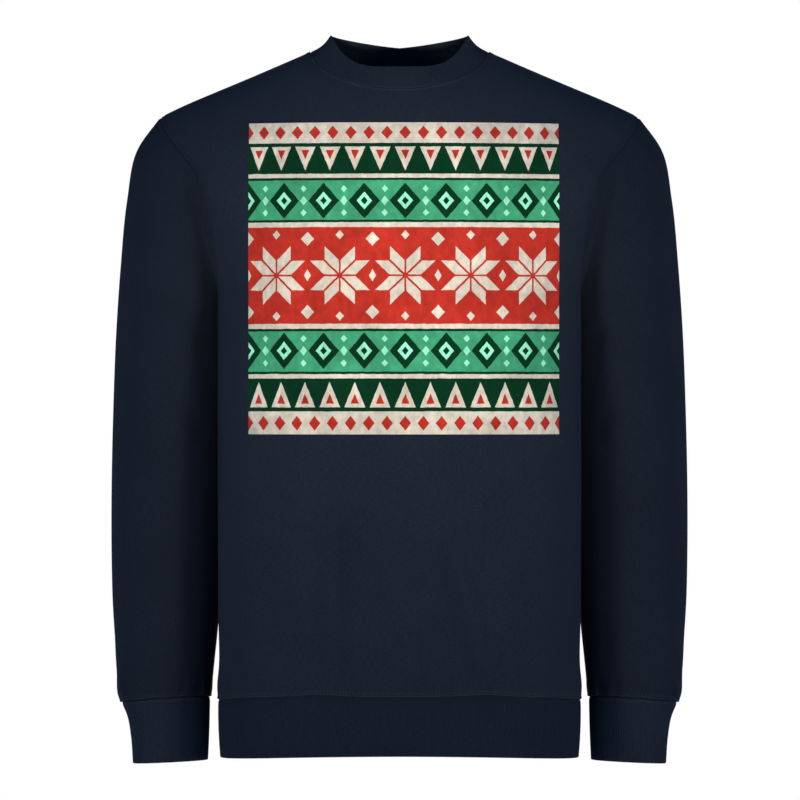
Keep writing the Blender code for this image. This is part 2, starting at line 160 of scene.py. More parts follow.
def cubic(known_at, known, at):
    """Reads a table smoothly between its rows, with slopes from the rows on either side."""
    slope = np.gradient(known, known_at, axis=0)
    row = np.clip(np.searchsorted(known_at, at, side="right") - 1, 0, len(known_at) - 2)
    shape = (-1,) + (1,) * (known.ndim - 1)
    span = (known_at[row + 1] - known_at[row]).reshape(shape)
    t = (at - known_at[row]).reshape(shape) / span
    return curve(t, known[row], span * slope[row], known[row + 1], span * slope[row + 1])


def read(rows, name, z):
    """One column of a table at one height."""
    heights = np.array([row.z for row in rows])
    values = np.array([getattr(row, name) for row in rows])
    return float(cubic(heights, values, np.array([z]))[0])


def lengths(line):
    """How far along a line each of its points is."""
    return np.concatenate(([0.0], np.cumsum(np.linalg.norm(np.diff(line, axis=0), axis=1))))


def read_line(line, at, where):
    """A line of points or directions, read at distances or shares along it."""
    return np.stack([np.interp(where, at, line[:, i]) for i in range(3)], axis=-1)


def spaced(line, shares):
    """Points at the given shares of a line's length."""
    at = lengths(line)
    return read_line(line, at, shares * at[-1])


def unit(vectors):
    return vectors / np.linalg.norm(vectors, axis=-1, keepdims=True)


def both_sides(half):
    """A line across the body from the half on the wearer's left."""
    return np.concatenate((half[:0:-1] * MIRROR, half))


def armhole_half(first, last):
    """The armhole seam between two rows of its table, evenly spaced."""
    rows = np.array(ARMHOLE).take(range(first - 1, last + 2), axis=0, mode="wrap")
    at = lengths(rows)
    line = cubic(at, rows, np.linspace(at[1], at[-2], FINE))
    return spaced(line, np.linspace(0, 1, ARMHOLE_ROWS + 1))


def column_shares(z, yoke=0.0):
    """Where the columns stand between a panel's middle line and its edge: even at the hem, with
    the grain from the chest up, and closed up beside the neck."""
    even = np.linspace(0, 1, NECK_COLUMNS + SHOULDER_COLUMNS + 1)
    across = np.linspace(0, 1, NECK_COLUMNS + 1)
    crowded = 1 - (1 - across) ** NECK_CROWDING
    neck = NECK_SHARE * (across + (crowded - across) * yoke**2)
    shoulder = np.linspace(NECK_SHARE, 1, SHOULDER_COLUMNS + 1)
    grain = np.concatenate((neck, shoulder[1:]))
    rise = np.clip((z - EVEN_BELOW_Z) / (GRAIN_ABOVE_Z - EVEN_BELOW_Z), 0, 1)
    return even + (grain - even) * smooth(rise)


def half_section(name, z, edge_x, edge_y):
    """Half a level section of a panel, from its middle line round to its edge."""
    squareness = read(SQUARENESSES, name, z)
    middle_y = read(MIDDLES, name, z)
    side_y = read(SIDES, name, z)
    ahead = np.clip((edge_y - side_y) / (middle_y - side_y), 0, 1)
    turn = np.linspace(0, np.arccos(ahead ** (squareness / 2)), FINE)
    across = np.sin(turn) ** (2 / squareness)
    back = 1 - np.maximum(np.cos(turn), 0) ** (2 / squareness)
    x = edge_x * across / across[-1]
    y = middle_y + (edge_y - middle_y) * back / back[-1]
    return spaced(np.stack((x, y, np.full(FINE, z)), axis=1), column_shares(z))


def level_ring(name, z, rise):
    """Half a section below the underarm, with its middle raised above its side."""
    ring = half_section(name, z, read(SIDES, "half_width", z), read(SIDES, name, z))
    ring[:, 2] += rise * (1 - (ring[:, 0] / ring[-1, 0]) ** 2)
    return ring


def lower_rows(name):
    """Rows from the hem seam up to the underarm. The hem seam's curve fades out above it."""
    rows = []
    for z in np.linspace(HEM_SEAM_Z["side"], UNDERARM[2], LOWER_ROWS + 1):
        fade = max(0.0, 1 - (z - HEM_SEAM_Z["side"]) / HEM_FADE) ** 2
        row = level_ring(name, z, (HEM_SEAM_Z[name] - HEM_SEAM_Z["side"]) * fade)
        if name == "front":
            beside, lift = np.array(HEM_WAVE).T
            row[:, 2] += cubic(beside, lift, row[:, 0]) * fade**2
        rows.append(row)
    return rows


def chest_rows(name, armhole):
    """Level rows from the underarm up to the chest, each ending on the armhole seam."""
    return [half_section(name, z, x, y) for x, y, z in armhole[1 : CHEST_ROW + 1]]


def ridge(shares):
    """Where columns would cross the top of the shoulder, with the neck opening filled in."""
    beside = np.clip(shares / NECK_SHARE, 0, 1)
    rise = NECK_RISE * (1 - beside**NECK_RISE_POWER)
    neck = np.stack((NECK_HALF_WIDTH * beside, np.full_like(beside, NECK_SIDE_Y), rise), axis=1)
    out = np.clip((shares - NECK_SHARE) / (1 - NECK_SHARE), 0, 1)[:, None]
    crown = np.sin(out**3 * np.pi) * (0, 0, SHOULDER_RISE)
    return neck + (np.array(SHOULDER_TIP) - neck) * out + crown


def neckline_place(name, line):
    """How far up a column's line the neckline crosses it, from 0 to 1."""
    across = np.clip(line[:, 0] / NECK_HALF_WIDTH, 0, 1)
    above = line[:, 2] + NECK_DROP[name] * np.sqrt(1 - across**2)
    after = int(np.argmax(above >= 0))
    share = -above[after - 1] / (above[after] - above[after - 1])
    return (after - 1 + share) / (len(line) - 1)


def yoke_surface(name, below, chest, shares):
    """A function that gives the yoke's points: over the ridge from the chest row, read at any shares."""
    dense = np.linspace(0, 1, FINE)
    chest_line = read_line(chest, shares, dense)
    upward = unit(chest_line - read_line(below, shares, dense))
    top = ridge(dense)
    span = np.linalg.norm(top - chest_line, axis=1, keepdims=True)
    inward = 1.0 if name == "front" else -1.0
    start = upward * span * CHEST_PULL
    end = np.array((0, inward, 0)) * span * TOP_PULL

    def at(share, t):
        lines = (chest_line, start, top, end)
        return curve(np.reshape(t, (-1, 1)), *(read_line(line, dense, share) for line in lines))

    return at


def yoke_rows(name, below, chest, armhole):
    """Rows from the chest to the neckline and the shoulder seam."""
    at = yoke_surface(name, below, chest, column_shares(0))
    stop = np.ones(chest.shape[0])
    for c, share in enumerate(column_shares(0, yoke=1)[:NECK_COLUMNS]):
        line = at(np.full(FINE, share), np.linspace(0, 1, FINE))
        stop[c] = neckline_place(name, line)
    rows = []
    steps = ARMHOLE_ROWS - CHEST_ROW
    for i in range(1, steps + 1):
        shares = column_shares(0, yoke=i / steps)
        row = at(shares, stop * i / steps)
        rows.append(row + (armhole[CHEST_ROW + i] - row[-1]) * shares[:, None] ** 3)
    return rows


def panel(name):
    """The outer grid of the front or back: rows go up, columns go round as seen from outside."""
    if name == "front":
        armhole = armhole_half(0, UNDERARM_INDEX)[::-1]
    else:
        armhole = armhole_half(UNDERARM_INDEX, len(ARMHOLE))
    rows = lower_rows(name) + chest_rows(name, armhole)
    rows += yoke_rows(name, rows[-2], rows[-1], armhole)
    grid = np.array([both_sides(row) for row in rows])
    return grid if name == "front" else grid[:, ::-1]


def closed_up(grid):
    """A ring of a grid with its first column again at its end."""
    return np.concatenate((grid, grid[:, :1]), axis=1)


def face_ways(grid):
    """The way out of every face of a grid, as long as twice the face's area."""
    return np.cross(grid[1:, 1:] - grid[:-1, :-1], grid[1:, :-1] - grid[:-1, 1:])


def facing(grid, closed=False):
    """The outward direction at every point of a grid, shared out from the faces around it."""
    faces = face_ways(closed_up(grid) if closed else grid)
    total = np.zeros((faces.shape[0] + 1, faces.shape[1] + 1, 3))
    for rows in (slice(None, -1), slice(1, None)):
        for columns in (slice(None, -1), slice(1, None)):
            total[rows, columns] += faces
    if closed:
        total[:, 0] += total[:, -1]
        total = total[:, :-1]
    return unit(total)


def resample(grid, at, axis):
    """A grid read at fractions of its rows or columns."""
    grid = np.moveaxis(grid, axis, 0)
    low = np.clip(at.astype(int), 0, len(grid) - 2)
    share = (at - low).reshape((-1,) + (1,) * (grid.ndim - 1))
    return np.moveaxis(grid[low] * (1 - share) + grid[low + 1] * share, 0, axis)


def crowded(count, near_start, near_end):
    """Steps along a grid of so many rows or columns, with closer ones beside a sewn edge."""
    close = np.array((0, 0.12, 0.25, 0.4, 0.58, 0.8, 1.05, 1.35, 1.7, 2.1, 2.55))
    steps = np.arange(3, count - 3)
    start = close if near_start else np.arange(3)
    end = count - 1 - (close if near_end else np.arange(3))[::-1]
    return np.concatenate((start, steps, end)).astype(float)


def along_rows(grid):
    """The distance of each point from the start of its row."""
    steps = np.linalg.norm(np.diff(grid, axis=1), axis=2)
    return np.concatenate((np.zeros((len(grid), 1)), np.cumsum(steps, axis=1)), axis=1)


def up_columns(grid):
    """The distance of each point from the foot of its column."""
    steps = np.linalg.norm(np.diff(grid, axis=0), axis=2)
    return np.concatenate((np.zeros((1, grid.shape[1])), np.cumsum(steps, axis=0)))


def soft(distance, width):
    """1 at a place, falling away smoothly over a width."""
    return np.exp(-((distance / width) ** 2))


# A piece's edges: its foot, its top and its two sides
EDGES = (np.s_[:1], np.s_[-1:], np.s_[:, :1], np.s_[:, -1:])
SEAM_REACH = 0.0035
CARRIED_IN = 0.0025


def share_at_seams(pieces):
    """Gives pieces that meet at a seam one way out of the cloth there, so that the seam stays shut
    when its edges roll in. Each piece is its grid, the way out of the cloth, and its sewn edges."""
    sewn = [(grid[edge], outward[edge]) for grid, outward, edges in pieces for edge in edges]
    points, ways = (np.concatenate([pair[i].reshape(-1, 3) for pair in sewn]) for i in (0, 1))
    for grid, outward, edges in pieces:
        for edge in edges:
            away = np.linalg.norm(grid[edge].reshape(-1, 1, 3) - points, axis=2)
            outward[edge] = unit((away < SEAM_REACH) @ ways).reshape(outward[edge].shape)


def out_at_seams(grid, shared, edges, distances, closed=False):
    """The way out of creased cloth. Along its sewn edges it stays as shared with the next piece,
    and it is carried from there a few millimetres in."""
    outward = facing(grid, closed)
    for edge in edges:
        outward[edge] = shared[edge]
    for edge, distance in zip(edges, distances):
        near = soft(distance, CARRIED_IN)[..., None]
        outward = unit(outward * (1 - near) + outward[edge] * near)
    return outward


Trough = namedtuple("Trough", "x y z lean half_length half_width depth forward", defaults=(0,))
SEAM_HOLDS = 0.012


def press(grid, outward, troughs, from_seam):
    """Presses soft troughs into cloth, fading out where a seam holds it. lean is the crease's angle
    from upright seen from the front, and forward its turn toward the wearer's front."""
    held = 1 - soft(from_seam, SEAM_HOLDS)
    for t in troughs:
        lean, forward = np.radians((t.lean, t.forward))
        along = np.array((np.sin(lean) * np.cos(forward), -np.sin(forward), np.cos(lean) * np.cos(forward)))
        away = grid - np.array((t.x, t.y, t.z))
        run = away @ along
        beside = np.linalg.norm(away - run[..., None] * along, axis=-1)
        depth = soft(beside, t.half_width) * np.exp(-((run / t.half_length) ** 4))
        grid -= outward * (t.depth * depth * held)[..., None]


def quads(rows, columns, looped=False, closed=False):
    """The faces of a grid as seen from outside. The last row of a looped grid meets its first, and
    the last column of a closed one its first."""
    up = np.arange(rows if looped else rows - 1)
    across = np.arange(columns if closed else columns - 1)
    r, c = (a.ravel() for a in np.meshgrid(up, across, indexing="ij"))
    s, d = (r + 1) % rows, (c + 1) % columns
    return np.stack((r * columns + c, r * columns + d, s * columns + d, s * columns + c), axis=1)


def counted_on(index, count):
    """The rows or columns of faces' corners, counted on past the last where a face closes a ring."""
    closes = (index == 0) & (index.max(axis=1, keepdims=True) == count - 1)
    return np.where(closes, count, index)


def new_piece(name, points, faces, maps):
    """A smooth mesh in the scene. A map has its value for every corner of every face."""
    mesh = bpy.data.meshes.new(name)
    mesh.from_pydata(points.reshape(-1, 3).tolist(), [], faces)
    for map_name, values in maps.items():
        layer = mesh.uv_layers.new(name=map_name)
        layer.data.foreach_set("uv", values.astype(np.float32).ravel())
    mesh.shade_smooth()
    piece = bpy.data.objects.new(name, mesh)
    bpy.context.scene.collection.objects.link(piece)
    return piece


def shell(name, outer, inner, maps, closed=False):
    """A wall of cloth between an outer and an inner grid, closed along its edges, with its maps."""
    rows, columns = outer.shape[:2]
    away = rows * columns
    out = quads(rows, columns, closed=closed)
    rims = []
    for row, order in ((0, 1), (rows - 1, -1)):
        c = np.arange(columns if closed else columns - 1)
        first, second = row * columns + c, row * columns + (c + 1) % columns
        rims.append(np.stack((second, first, first + away, second + away), axis=1)[:, ::order])
    if not closed:
        for column, order in ((0, -1), (columns - 1, 1)):
            low = np.arange(rows - 1) * columns + column
            high = low + columns
            rims.append(np.stack((high, low, low + away, high + away), axis=1)[:, ::order])
    faces = np.concatenate([out, out[:, ::-1] + away] + rims)
    r, c = faces // columns % rows, faces % columns
    if closed:
        c = counted_on(c, columns)
    maps = {map_name: values[r, c] for map_name, values in maps.items()}
    return new_piece(name, np.stack((outer, inner)), faces.tolist(), maps)


def cloth_area(grid, closed=False):
    return float(np.linalg.norm(face_ways(closed_up(grid) if closed else grid), axis=2).sum() / 2)


# How deep the cloth rolls in at its sewn edges, and how wide the roll is
ROLL = 0.0015
ROLL_WIDTH = 0.0018
# The row of topstitching beside each armhole lies in a shallow dip
ARMHOLE_STITCHES = 0.0038
STITCH_DIP = 0.0007
STITCH_DIP_WIDTH = 0.0010
DIP_ABOVE_UNDERARM = 0.004
# The cloth stands proud along the seams of the neck, the hem and the cuffs
Lip = namedtuple("Lip", "height away width")
NECK_LIP = Lip(0.0009, 0.0020, 0.0012)
HEM_LIP = Lip(0.0010, 0.0024, 0.0014)
CUFF_LIP = Lip(0.0010, 0.0022, 0.0014)
NECK_LIP_SPAN = 1.04
# Beside the armhole the body stands full and the sleeve falls back, from just under the shoulder
# down to an end: how far in front and behind, and how wide
Swell = namedtuple("Swell", "front back width end_z")
ARMHOLE_FULLNESS = Swell(0.0100, 0.0060, 0.042, -0.340)
ARMHOLE_HOLLOW = Swell(0.0090, 0.0050, 0.034, -0.420)
SWELL_BELOW_SHOULDER = 0.030
SWELL_FADE_IN = 0.060
SWELL_FADE_OUT = 0.090
SEAM_CREASE = 0.0048


def lip(kind, distance):
    return kind.height * soft(distance - kind.away, kind.width)


def beside_armhole(swell, z, distance):
    """How much of a swell is left: none at the top of the armhole or past its end, steep at the seam
    itself and fading slowly away from it."""
    rise = np.clip((SHOULDER_TIP[2] - SWELL_BELOW_SHOULDER - z) / SWELL_FADE_IN, 0, 1)
    fall = np.clip((z - swell.end_z) / SWELL_FADE_OUT, 0, 1)
    return smooth(rise) * smooth(fall) * soft(distance, swell.width) * (1 - soft(distance, SEAM_CREASE))


FRONT_TROUGHS = (
    Trough(-0.0670, -0.124, -0.560, 0, 0.110, 0.017, 0.0100),
    Trough(0.0740, -0.124, -0.575, -17, 0.085, 0.017, 0.0110),
    Trough(-0.0900, -0.116, -0.622, 24, 0.030, 0.008, 0.0014),
    Trough(0.0760, -0.120, -0.605, -40, 0.045, 0.009, 0.0016),
    Trough(-0.1660, -0.070, -0.628, 36, 0.034, 0.009, 0.0018),
    Trough(0.1620, -0.074, -0.632, -32, 0.032, 0.009, 0.0016),
    Trough(-0.1740, -0.066, -0.285, -26, 0.046, 0.010, 0.0014),
    Trough(0.1750, -0.066, -0.300, 24, 0.052, 0.010, 0.0014),
    Trough(-0.0100, -0.128, -0.520, 4, 0.120, 0.030, 0.0012),
    Trough(0.1350, -0.100, -0.480, 7, 0.090, 0.016, 0.0014),
    Trough(-0.1340, -0.100, -0.470, -5, 0.110, 0.016, 0.0014),
)
BACK_TROUGHS = (
    Trough(-0.0800, 0.112, -0.540, 6, 0.110, 0.021, 0.0032),
    Trough(0.0550, 0.116, -0.590, -10, 0.075, 0.019, 0.0026),
    Trough(0.0900, 0.108, -0.500, 12, 0.090, 0.016, 0.0018),
    Trough(-0.0150, 0.119, -0.560, -3, 0.090, 0.016, 0.0014),
    Trough(-0.1500, 0.060, -0.622, 32, 0.036, 0.009, 0.0018),
    Trough(0.1520, 0.060, -0.630, -35, 0.034, 0.009, 0.0018),
    Trough(-0.1650, 0.072, -0.255, -38, 0.060, 0.012, 0.0026),
    Trough(0.1650, 0.072, -0.262, 35, 0.054, 0.011, 0.0024),
    Trough(-0.1500, 0.092, -0.205, -55, 0.050, 0.010, 0.0014),
    Trough(0.1480, 0.094, -0.215, 50, 0.046, 0.010, 0.0014),
    Trough(-0.0300, 0.125, -0.300, 82, 0.070, 0.014, 0.0012),
    Trough(0.0500, 0.124, -0.345, 97, 0.055, 0.012, 0.0010),
)


def fine_panel(name):
    """A panel with closer rows and columns along its seams, and the way out of the cloth."""
    grid = panel(name)
    grid = resample(grid, crowded(grid.shape[0], True, True), 0)
    grid = resample(grid, crowded(grid.shape[1], True, True), 1)
    return grid, facing(grid)


def sewn_panel(name, grid, outward, troughs):
    """A panel with its creases, its rolled-in edges, the lips along its hem and neck seams, and the
    dip and the fullness beside its armholes."""
    across, up = along_rows(grid), up_columns(grid)
    to_side, to_top = across[:, -1:] - across, up[-1:] - up
    from_side = np.minimum(across, to_side)
    from_seam = np.minimum(np.minimum(up, to_top), from_side)
    press(grid, outward, troughs, from_seam)
    outward = out_at_seams(grid, outward, EDGES, (up, to_top, across, to_side))
    on_armhole = grid[:, -1:, 2] > UNDERARM[2] + DIP_ABOVE_UNDERARM
    at_neck = np.abs(grid[-1, :, 0]) < NECK_LIP_SPAN * NECK_HALF_WIDTH
    dip = ROLL * soft(from_seam, ROLL_WIDTH) - lip(HEM_LIP, up) - lip(NECK_LIP, to_top) * at_neck
    dip += STITCH_DIP * soft(from_side - ARMHOLE_STITCHES, STITCH_DIP_WIDTH) * on_armhole
    grid -= outward * dip[..., None]
    full = getattr(ARMHOLE_FULLNESS, name) * beside_armhole(ARMHOLE_FULLNESS, grid[..., 2], from_side)
    grid[..., 1] += full * outward[..., 1]
    return outward


def cloth_map(grid):
    """The cloth's own map in metres, from its middle line and its foot."""
    across = along_rows(grid)
    middle = grid.shape[1] // 2
    return np.stack((across - across[:, middle : middle + 1], up_columns(grid)), axis=2)


# The printed square, as it is seen from the front: its middle, half its width, its top and its
# bottom, and the height of the chest at which its width is taken
PRINT_MIDDLE = 0.0044
PRINT_HALF = 0.1560
PRINT_TOP_Z = -0.0762
PRINT_BOTTOM_Z = -0.3893
CHEST_PRINT_Z = -0.2600


def print_map(grid):
    """Runs evenly round the chest and up the middle, and is straight as seen from the front."""
    middle = grid.shape[1] // 2
    rise = lengths(grid[:, middle])
    heights = grid[:, middle, 2]
    chest = grid[int(np.argmax(heights > CHEST_PRINT_Z))]
    run = lengths(chest)
    start, end = np.interp((PRINT_MIDDLE - PRINT_HALF, PRINT_MIDDLE + PRINT_HALF), chest[:, 0], run)
    u = np.interp(grid[..., 0], chest[:, 0], 2 * (run - start) / (end - start) - 1)
    top, bottom = (np.interp(z, heights, rise) for z in (PRINT_TOP_Z, PRINT_BOTTOM_Z))
    v = (np.interp(grid[..., 2], heights, rise) - top) / (bottom - top)
    return np.stack((u, v), axis=2)


def plug(tree, socket, value):
    """Gives a node's input a plain value, a number worked out before or another node's output."""
    value = getattr(value, "socket", value)
    if hasattr(value, "links"):
        tree.links.new(value, socket)
    else:
        socket.default_value = value


class Number:
    """A number in a material, so that its Math nodes can be written as plain sums."""

    def __init__(self, tree, socket):
        self.tree = tree
        self.socket = socket

    def worked(self, kind, operation, *others):
        """Another number, from a node that takes this one first."""
        node = self.tree.nodes.new(kind)
        if operation:
            node.operation = operation
        for socket, value in zip(node.inputs, (self, *others)):
            plug(self.tree, socket, value)
        return Number(self.tree, node.outputs[0])

    def math(self, operation, *others):
        return self.worked("ShaderNodeMath", operation, *others)

    def spread(self, low, high, to_low, to_high):
        """Carried from one range to another."""
        return self.worked("ShaderNodeMapRange", None, low, high, to_low, to_high)

    def __add__(self, other):
        return self.math("ADD", other)

    def __sub__(self, other):
        return self.math("SUBTRACT", other)

    def __mul__(self, other):
        return self.math("MULTIPLY", other)

    def __truediv__(self, other):
        return self.math("DIVIDE", other)

    def __lt__(self, other):
        return self.math("LESS_THAN", other)

    def __gt__(self, other):
        return self.math("GREATER_THAN", other)

    def __abs__(self):
        return self.math("ABSOLUTE")


def two_numbers(tree, vector):
    """The first two numbers of a map."""
    split = tree.nodes.new("ShaderNodeSeparateXYZ")
    tree.links.new(vector, split.inputs[0])
    return Number(tree, split.outputs["X"]), Number(tree, split.outputs["Y"])


def noise(tree, vector, scale, detail=2.0, stretch=None):
    """Soft speckle, at so many grains to the unit of its map."""
    if stretch:
        mapping = tree.nodes.new("ShaderNodeMapping")
        mapping.inputs["Scale"].default_value = stretch
        tree.links.new(vector, mapping.inputs["Vector"])
        vector = mapping.outputs["Vector"]
    node = tree.nodes.new("ShaderNodeTexNoise")
    node.inputs["Scale"].default_value = scale
    node.inputs["Detail"].default_value = detail
    tree.links.new(vector, node.inputs["Vector"])
    return Number(tree, node.outputs["Fac"])


def blended(tree, factor, first, second, mode="MIX"):
    """A colour mixed from two, each a colour or another node's output."""
    node = tree.nodes.new("ShaderNodeMix")
    node.data_type = "RGBA"
    node.blend_type = mode
    for i, value in ((0, factor), (6, first), (7, second)):
        plug(tree, node.inputs[i], value)
    return node.outputs[2]


def shaded(tree, colour, shade):
    """A colour made darker or lighter."""
    grey = tree.nodes.new("ShaderNodeCombineColor")
    for socket in grey.inputs[:3]:
        plug(tree, socket, shade)
    return blended(tree, 1.0, colour, grey.outputs[0], "MULTIPLY")


def knit_group():
    """Fine jersey: rows of small V stitches in a map in metres, with a light fuzz over them, and
    soft changes of shade over a hand's width. The colour is also darker in the knit's hollows and
    lighter on its tops: painted shade and highlight."""
    tree = bpy.data.node_groups.new("Fine knit", "ShaderNodeTree")
    taken = {"Map": "Vector", "Place": "Vector", "Colour": "Color", "Wale": "Float", "Course": "Float"}
    returned = {"Colour": "Color", "Height": "Float", "Roughness": "Float"}
    for sockets, way in ((taken, "INPUT"), (returned, "OUTPUT")):
        for name, kind in sockets.items():
            tree.interface.new_socket(name, in_out=way, socket_type="NodeSocket" + kind)
    given = tree.nodes.new("NodeGroupInput").outputs
    out = tree.nodes.new("NodeGroupOutput").inputs
    across, up = two_numbers(tree, given["Map"])
    course = up / given["Course"]
    beside = (across / given["Wale"]).math("PINGPONG", 0.5)
    leg = abs((beside.math("MULTIPLY_ADD", 1.3, course) * np.pi).math("SINE"))
    bow = (beside * (2 * np.pi)).math("SINE")
    stitch = leg.math("POWER", 0.7) * bow.math("POWER", 0.6)
    fuzz = noise(tree, given["Place"], 900, 3)
    height = fuzz.math("MULTIPLY_ADD", 0.55, stitch)
    mottle = noise(tree, given["Place"], 15, 4)
    slub = noise(tree, given["Map"], 1, 2, (240, 1000, 1))
    upright = noise(tree, given["Map"], 1, 2, (620, 120, 1))
    yarn = slub.spread(0.3, 0.7, 0.78, 1.22) * upright.spread(0.3, 0.7, 0.93, 1.07)
    # The height term darkens the hollows and lightens the tops of the knit: painted shade and highlight. The
    # mottle and the yarn are the cloth's own changes of tone.
    shade = mottle.spread(0.3, 0.7, 0.93, 1.07) * yarn * height.spread(0.0, 1.4, 0.80, 1.14)
    plug(tree, out["Colour"], shaded(tree, given["Colour"], shade))
    plug(tree, out["Height"], height)
    plug(tree, out["Roughness"], fuzz.spread(0.3, 0.7, 0.82, 0.98))
    return tree


KNIT = knit_group()
NAVY = (0.0104, 0.0166, 0.0305, 1)
# The sleeves' navy is darker than the body's: painted shade, for the shade the sleeves hang in beside the
# body.
SLEEVE_NAVY_PAINTED_SHADE = (0.0086, 0.0138, 0.0256, 1)
NAVY_SHEEN = (0.42, 0.52, 0.72, 1)


def knit_material(name, colour, wale, course, depth, print_over=None):
    """Navy cotton with a knit on its map. The nap's sheen is a little blue."""
    made = bpy.data.materials.new(name)
    made.use_nodes = True
    tree = made.node_tree
    shader = tree.nodes["Principled BSDF"]
    shader.inputs["Metallic"].default_value = 0.0
    shader.inputs["Specular IOR Level"].default_value = 0.10
    shader.inputs["Sheen Weight"].default_value = 0.03
    shader.inputs["Sheen Roughness"].default_value = 0.45
    shader.inputs["Sheen Tint"].default_value = NAVY_SHEEN
    group = tree.nodes.new("ShaderNodeGroup")
    group.node_tree = KNIT
    cloth_map = tree.nodes.new("ShaderNodeUVMap")
    cloth_map.uv_map = "Cloth"
    place = tree.nodes.new("ShaderNodeTexCoord")
    tree.links.new(cloth_map.outputs[0], group.inputs["Map"])
    tree.links.new(place.outputs["Object"], group.inputs["Place"])
    group.inputs["Colour"].default_value = colour
    group.inputs["Wale"].default_value = wale
    group.inputs["Course"].default_value = course
    bump = tree.nodes.new("ShaderNodeBump")
    bump.inputs["Strength"].default_value = 0.5
    bump.inputs["Distance"].default_value = depth
    tree.links.new(group.outputs["Height"], bump.inputs["Height"])
    tree.links.new(bump.outputs[0], shader.inputs["Normal"])
    tree.links.new(group.outputs["Roughness"], shader.inputs["Roughness"])
    colour_out = group.outputs["Colour"]
    if print_over:
        height = Number(tree, group.outputs["Height"])
        colour_out = print_over(tree, colour_out, height, place.outputs["Object"])
    tree.links.new(colour_out, shader.inputs["Base Color"])
    return made


# The print on the chest: bands of plain woven-border motifs, the same above and below its middle
# and left and right, in matt water-based ink. Sizes are in millimetres from the square's middle.
PRINT_RED = (0.500, 0.031, 0.020, 1)
PRINT_CREAM = (0.700, 0.640, 0.560, 1)
PRINT_DARK = (0.000, 0.034, 0.012, 1)
PRINT_MINT = (0.054, 0.360, 0.190, 1)
PRINT_PALE = (0.330, 0.900, 0.640, 1)
PRINT_MM = 156.0
PRINT_BANDS = (
    (0, PRINT_RED), (47, PRINT_CREAM), (52, PRINT_DARK), (54.5, PRINT_MINT), (94, PRINT_DARK),
    (96.5, PRINT_CREAM), (101, PRINT_DARK), (133, PRINT_CREAM),
)
STARS_EVERY = 62.4
LATTICE_EVERY = 39
LATTICE_UP = 74
TEETH_EVERY = 24
TOOTH_SLOPE = 0.40
BORDER_EVERY = 17.33
INK_WOBBLE = (0, 1, -0.6, 0.6)


def chest_print(tree, cloth, knit_height, place):
    """The printed square over the cloth's own colour."""
    where = tree.nodes.new("ShaderNodeUVMap")
    where.uv_map = "Print"
    u, v = two_numbers(tree, where.outputs[0])
    plain_x = u * PRINT_MM
    plain_y = (v - 0.5) * (2 * PRINT_MM)
    x = plain_x + noise(tree, place, 170, 2).spread(*INK_WOBBLE)
    y = abs(plain_y) + noise(tree, place, 150, 2, (1, 1, 1.3)).spread(*INK_WOBBLE)

    def every(period, shift=0.0):
        """The distance across to the nearest of a row of motifs."""
        return (x + shift).math("PINGPONG", period / 2)

    def lozenge(across, middle, wide, high, size=1.0):
        return across / wide + abs(y - middle) / high < size

    def either(mask, *others):
        for other in others:
            mask = mask.math("MAXIMUM", other)
        return mask

    bands = tree.nodes.new("ShaderNodeValToRGB")
    bands.color_ramp.interpolation = "CONSTANT"
    while len(bands.color_ramp.elements) < len(PRINT_BANDS):
        bands.color_ramp.elements.new(0.5)
    for element, (start, colour) in zip(bands.color_ramp.elements, PRINT_BANDS):
        element.position = start / PRINT_MM
        element.color = colour
    plug(tree, bands.inputs[0], y / PRINT_MM)
    colour = bands.outputs[0]

    star_x = every(STARS_EVERY)
    between = every(STARS_EVERY, STARS_EVERY / 2)
    near = star_x.math("MINIMUM", y)
    slope = star_x.math("MAXIMUM", y) - near
    star = (near > 0.9) * (near < 14.5) * (slope > 1.4) * (slope < 14.2)
    gems = either(lozenge(between, 36, 6.5, 7), lozenge(star_x, 40, 4, 4.5), lozenge(between, 0, 3.4, 6))

    lattice = every(LATTICE_EVERY)
    offset = every(LATTICE_EVERY, LATTICE_EVERY / 2)
    wide = lozenge(lattice, LATTICE_UP, 15, 18) * (y < 93) * (y > 55)
    heart = lozenge(lattice, LATTICE_UP, 15, 18, 0.5)
    core = lozenge(lattice, LATTICE_UP, 15, 18, 0.22)
    small = either(
        lozenge(offset, LATTICE_UP, 3.6, 5),
        lozenge(offset, LATTICE_UP - 12, 3.0, 3.6),
        lozenge(offset, LATTICE_UP + 12, 3.0, 3.6),
    )

    tooth_x = every(TEETH_EVERY)
    tooth = ((y - 104.5) * TOOTH_SLOPE > tooth_x) * (y < 129.5)
    notch = ((y - 116) * TOOTH_SLOPE > tooth_x) * (y < 126)
    border = lozenge(every(BORDER_EVERY), 145, 5.6, 7.4)

    for mask, ink in (
        (either(star, gems) * (y < 46), PRINT_CREAM),
        (wide, PRINT_DARK), (heart, PRINT_PALE), (core, PRINT_DARK), (small, PRINT_PALE),
        (tooth, PRINT_CREAM), (notch, PRINT_RED), (border, PRINT_RED),
    ):
        colour = blended(tree, mask, colour, ink)

    wash = noise(tree, place, 26, 4).spread(0.3, 0.7, 0.78, 1.10)
    brush = noise(tree, place, 170, 5, (1, 1, 0.7)).spread(0.3, 0.7, 0.80, 1.10)
    # The ink is darker in the knit's hollows and lighter on its tops: painted shade and highlight. wash and
    # brush are the ink's own mottle.
    colour = shaded(tree, colour, wash * brush * knit_height.spread(0.0, 1.4, 0.90, 1.06))
    inside = (abs(plain_x) < PRINT_MM) * (abs(plain_y) < PRINT_MM)
    worn = noise(tree, place, 480, 2).spread(0.24, 0.30, 0.55, 1.0)
    return blended(tree, inside * worn, cloth, colour)


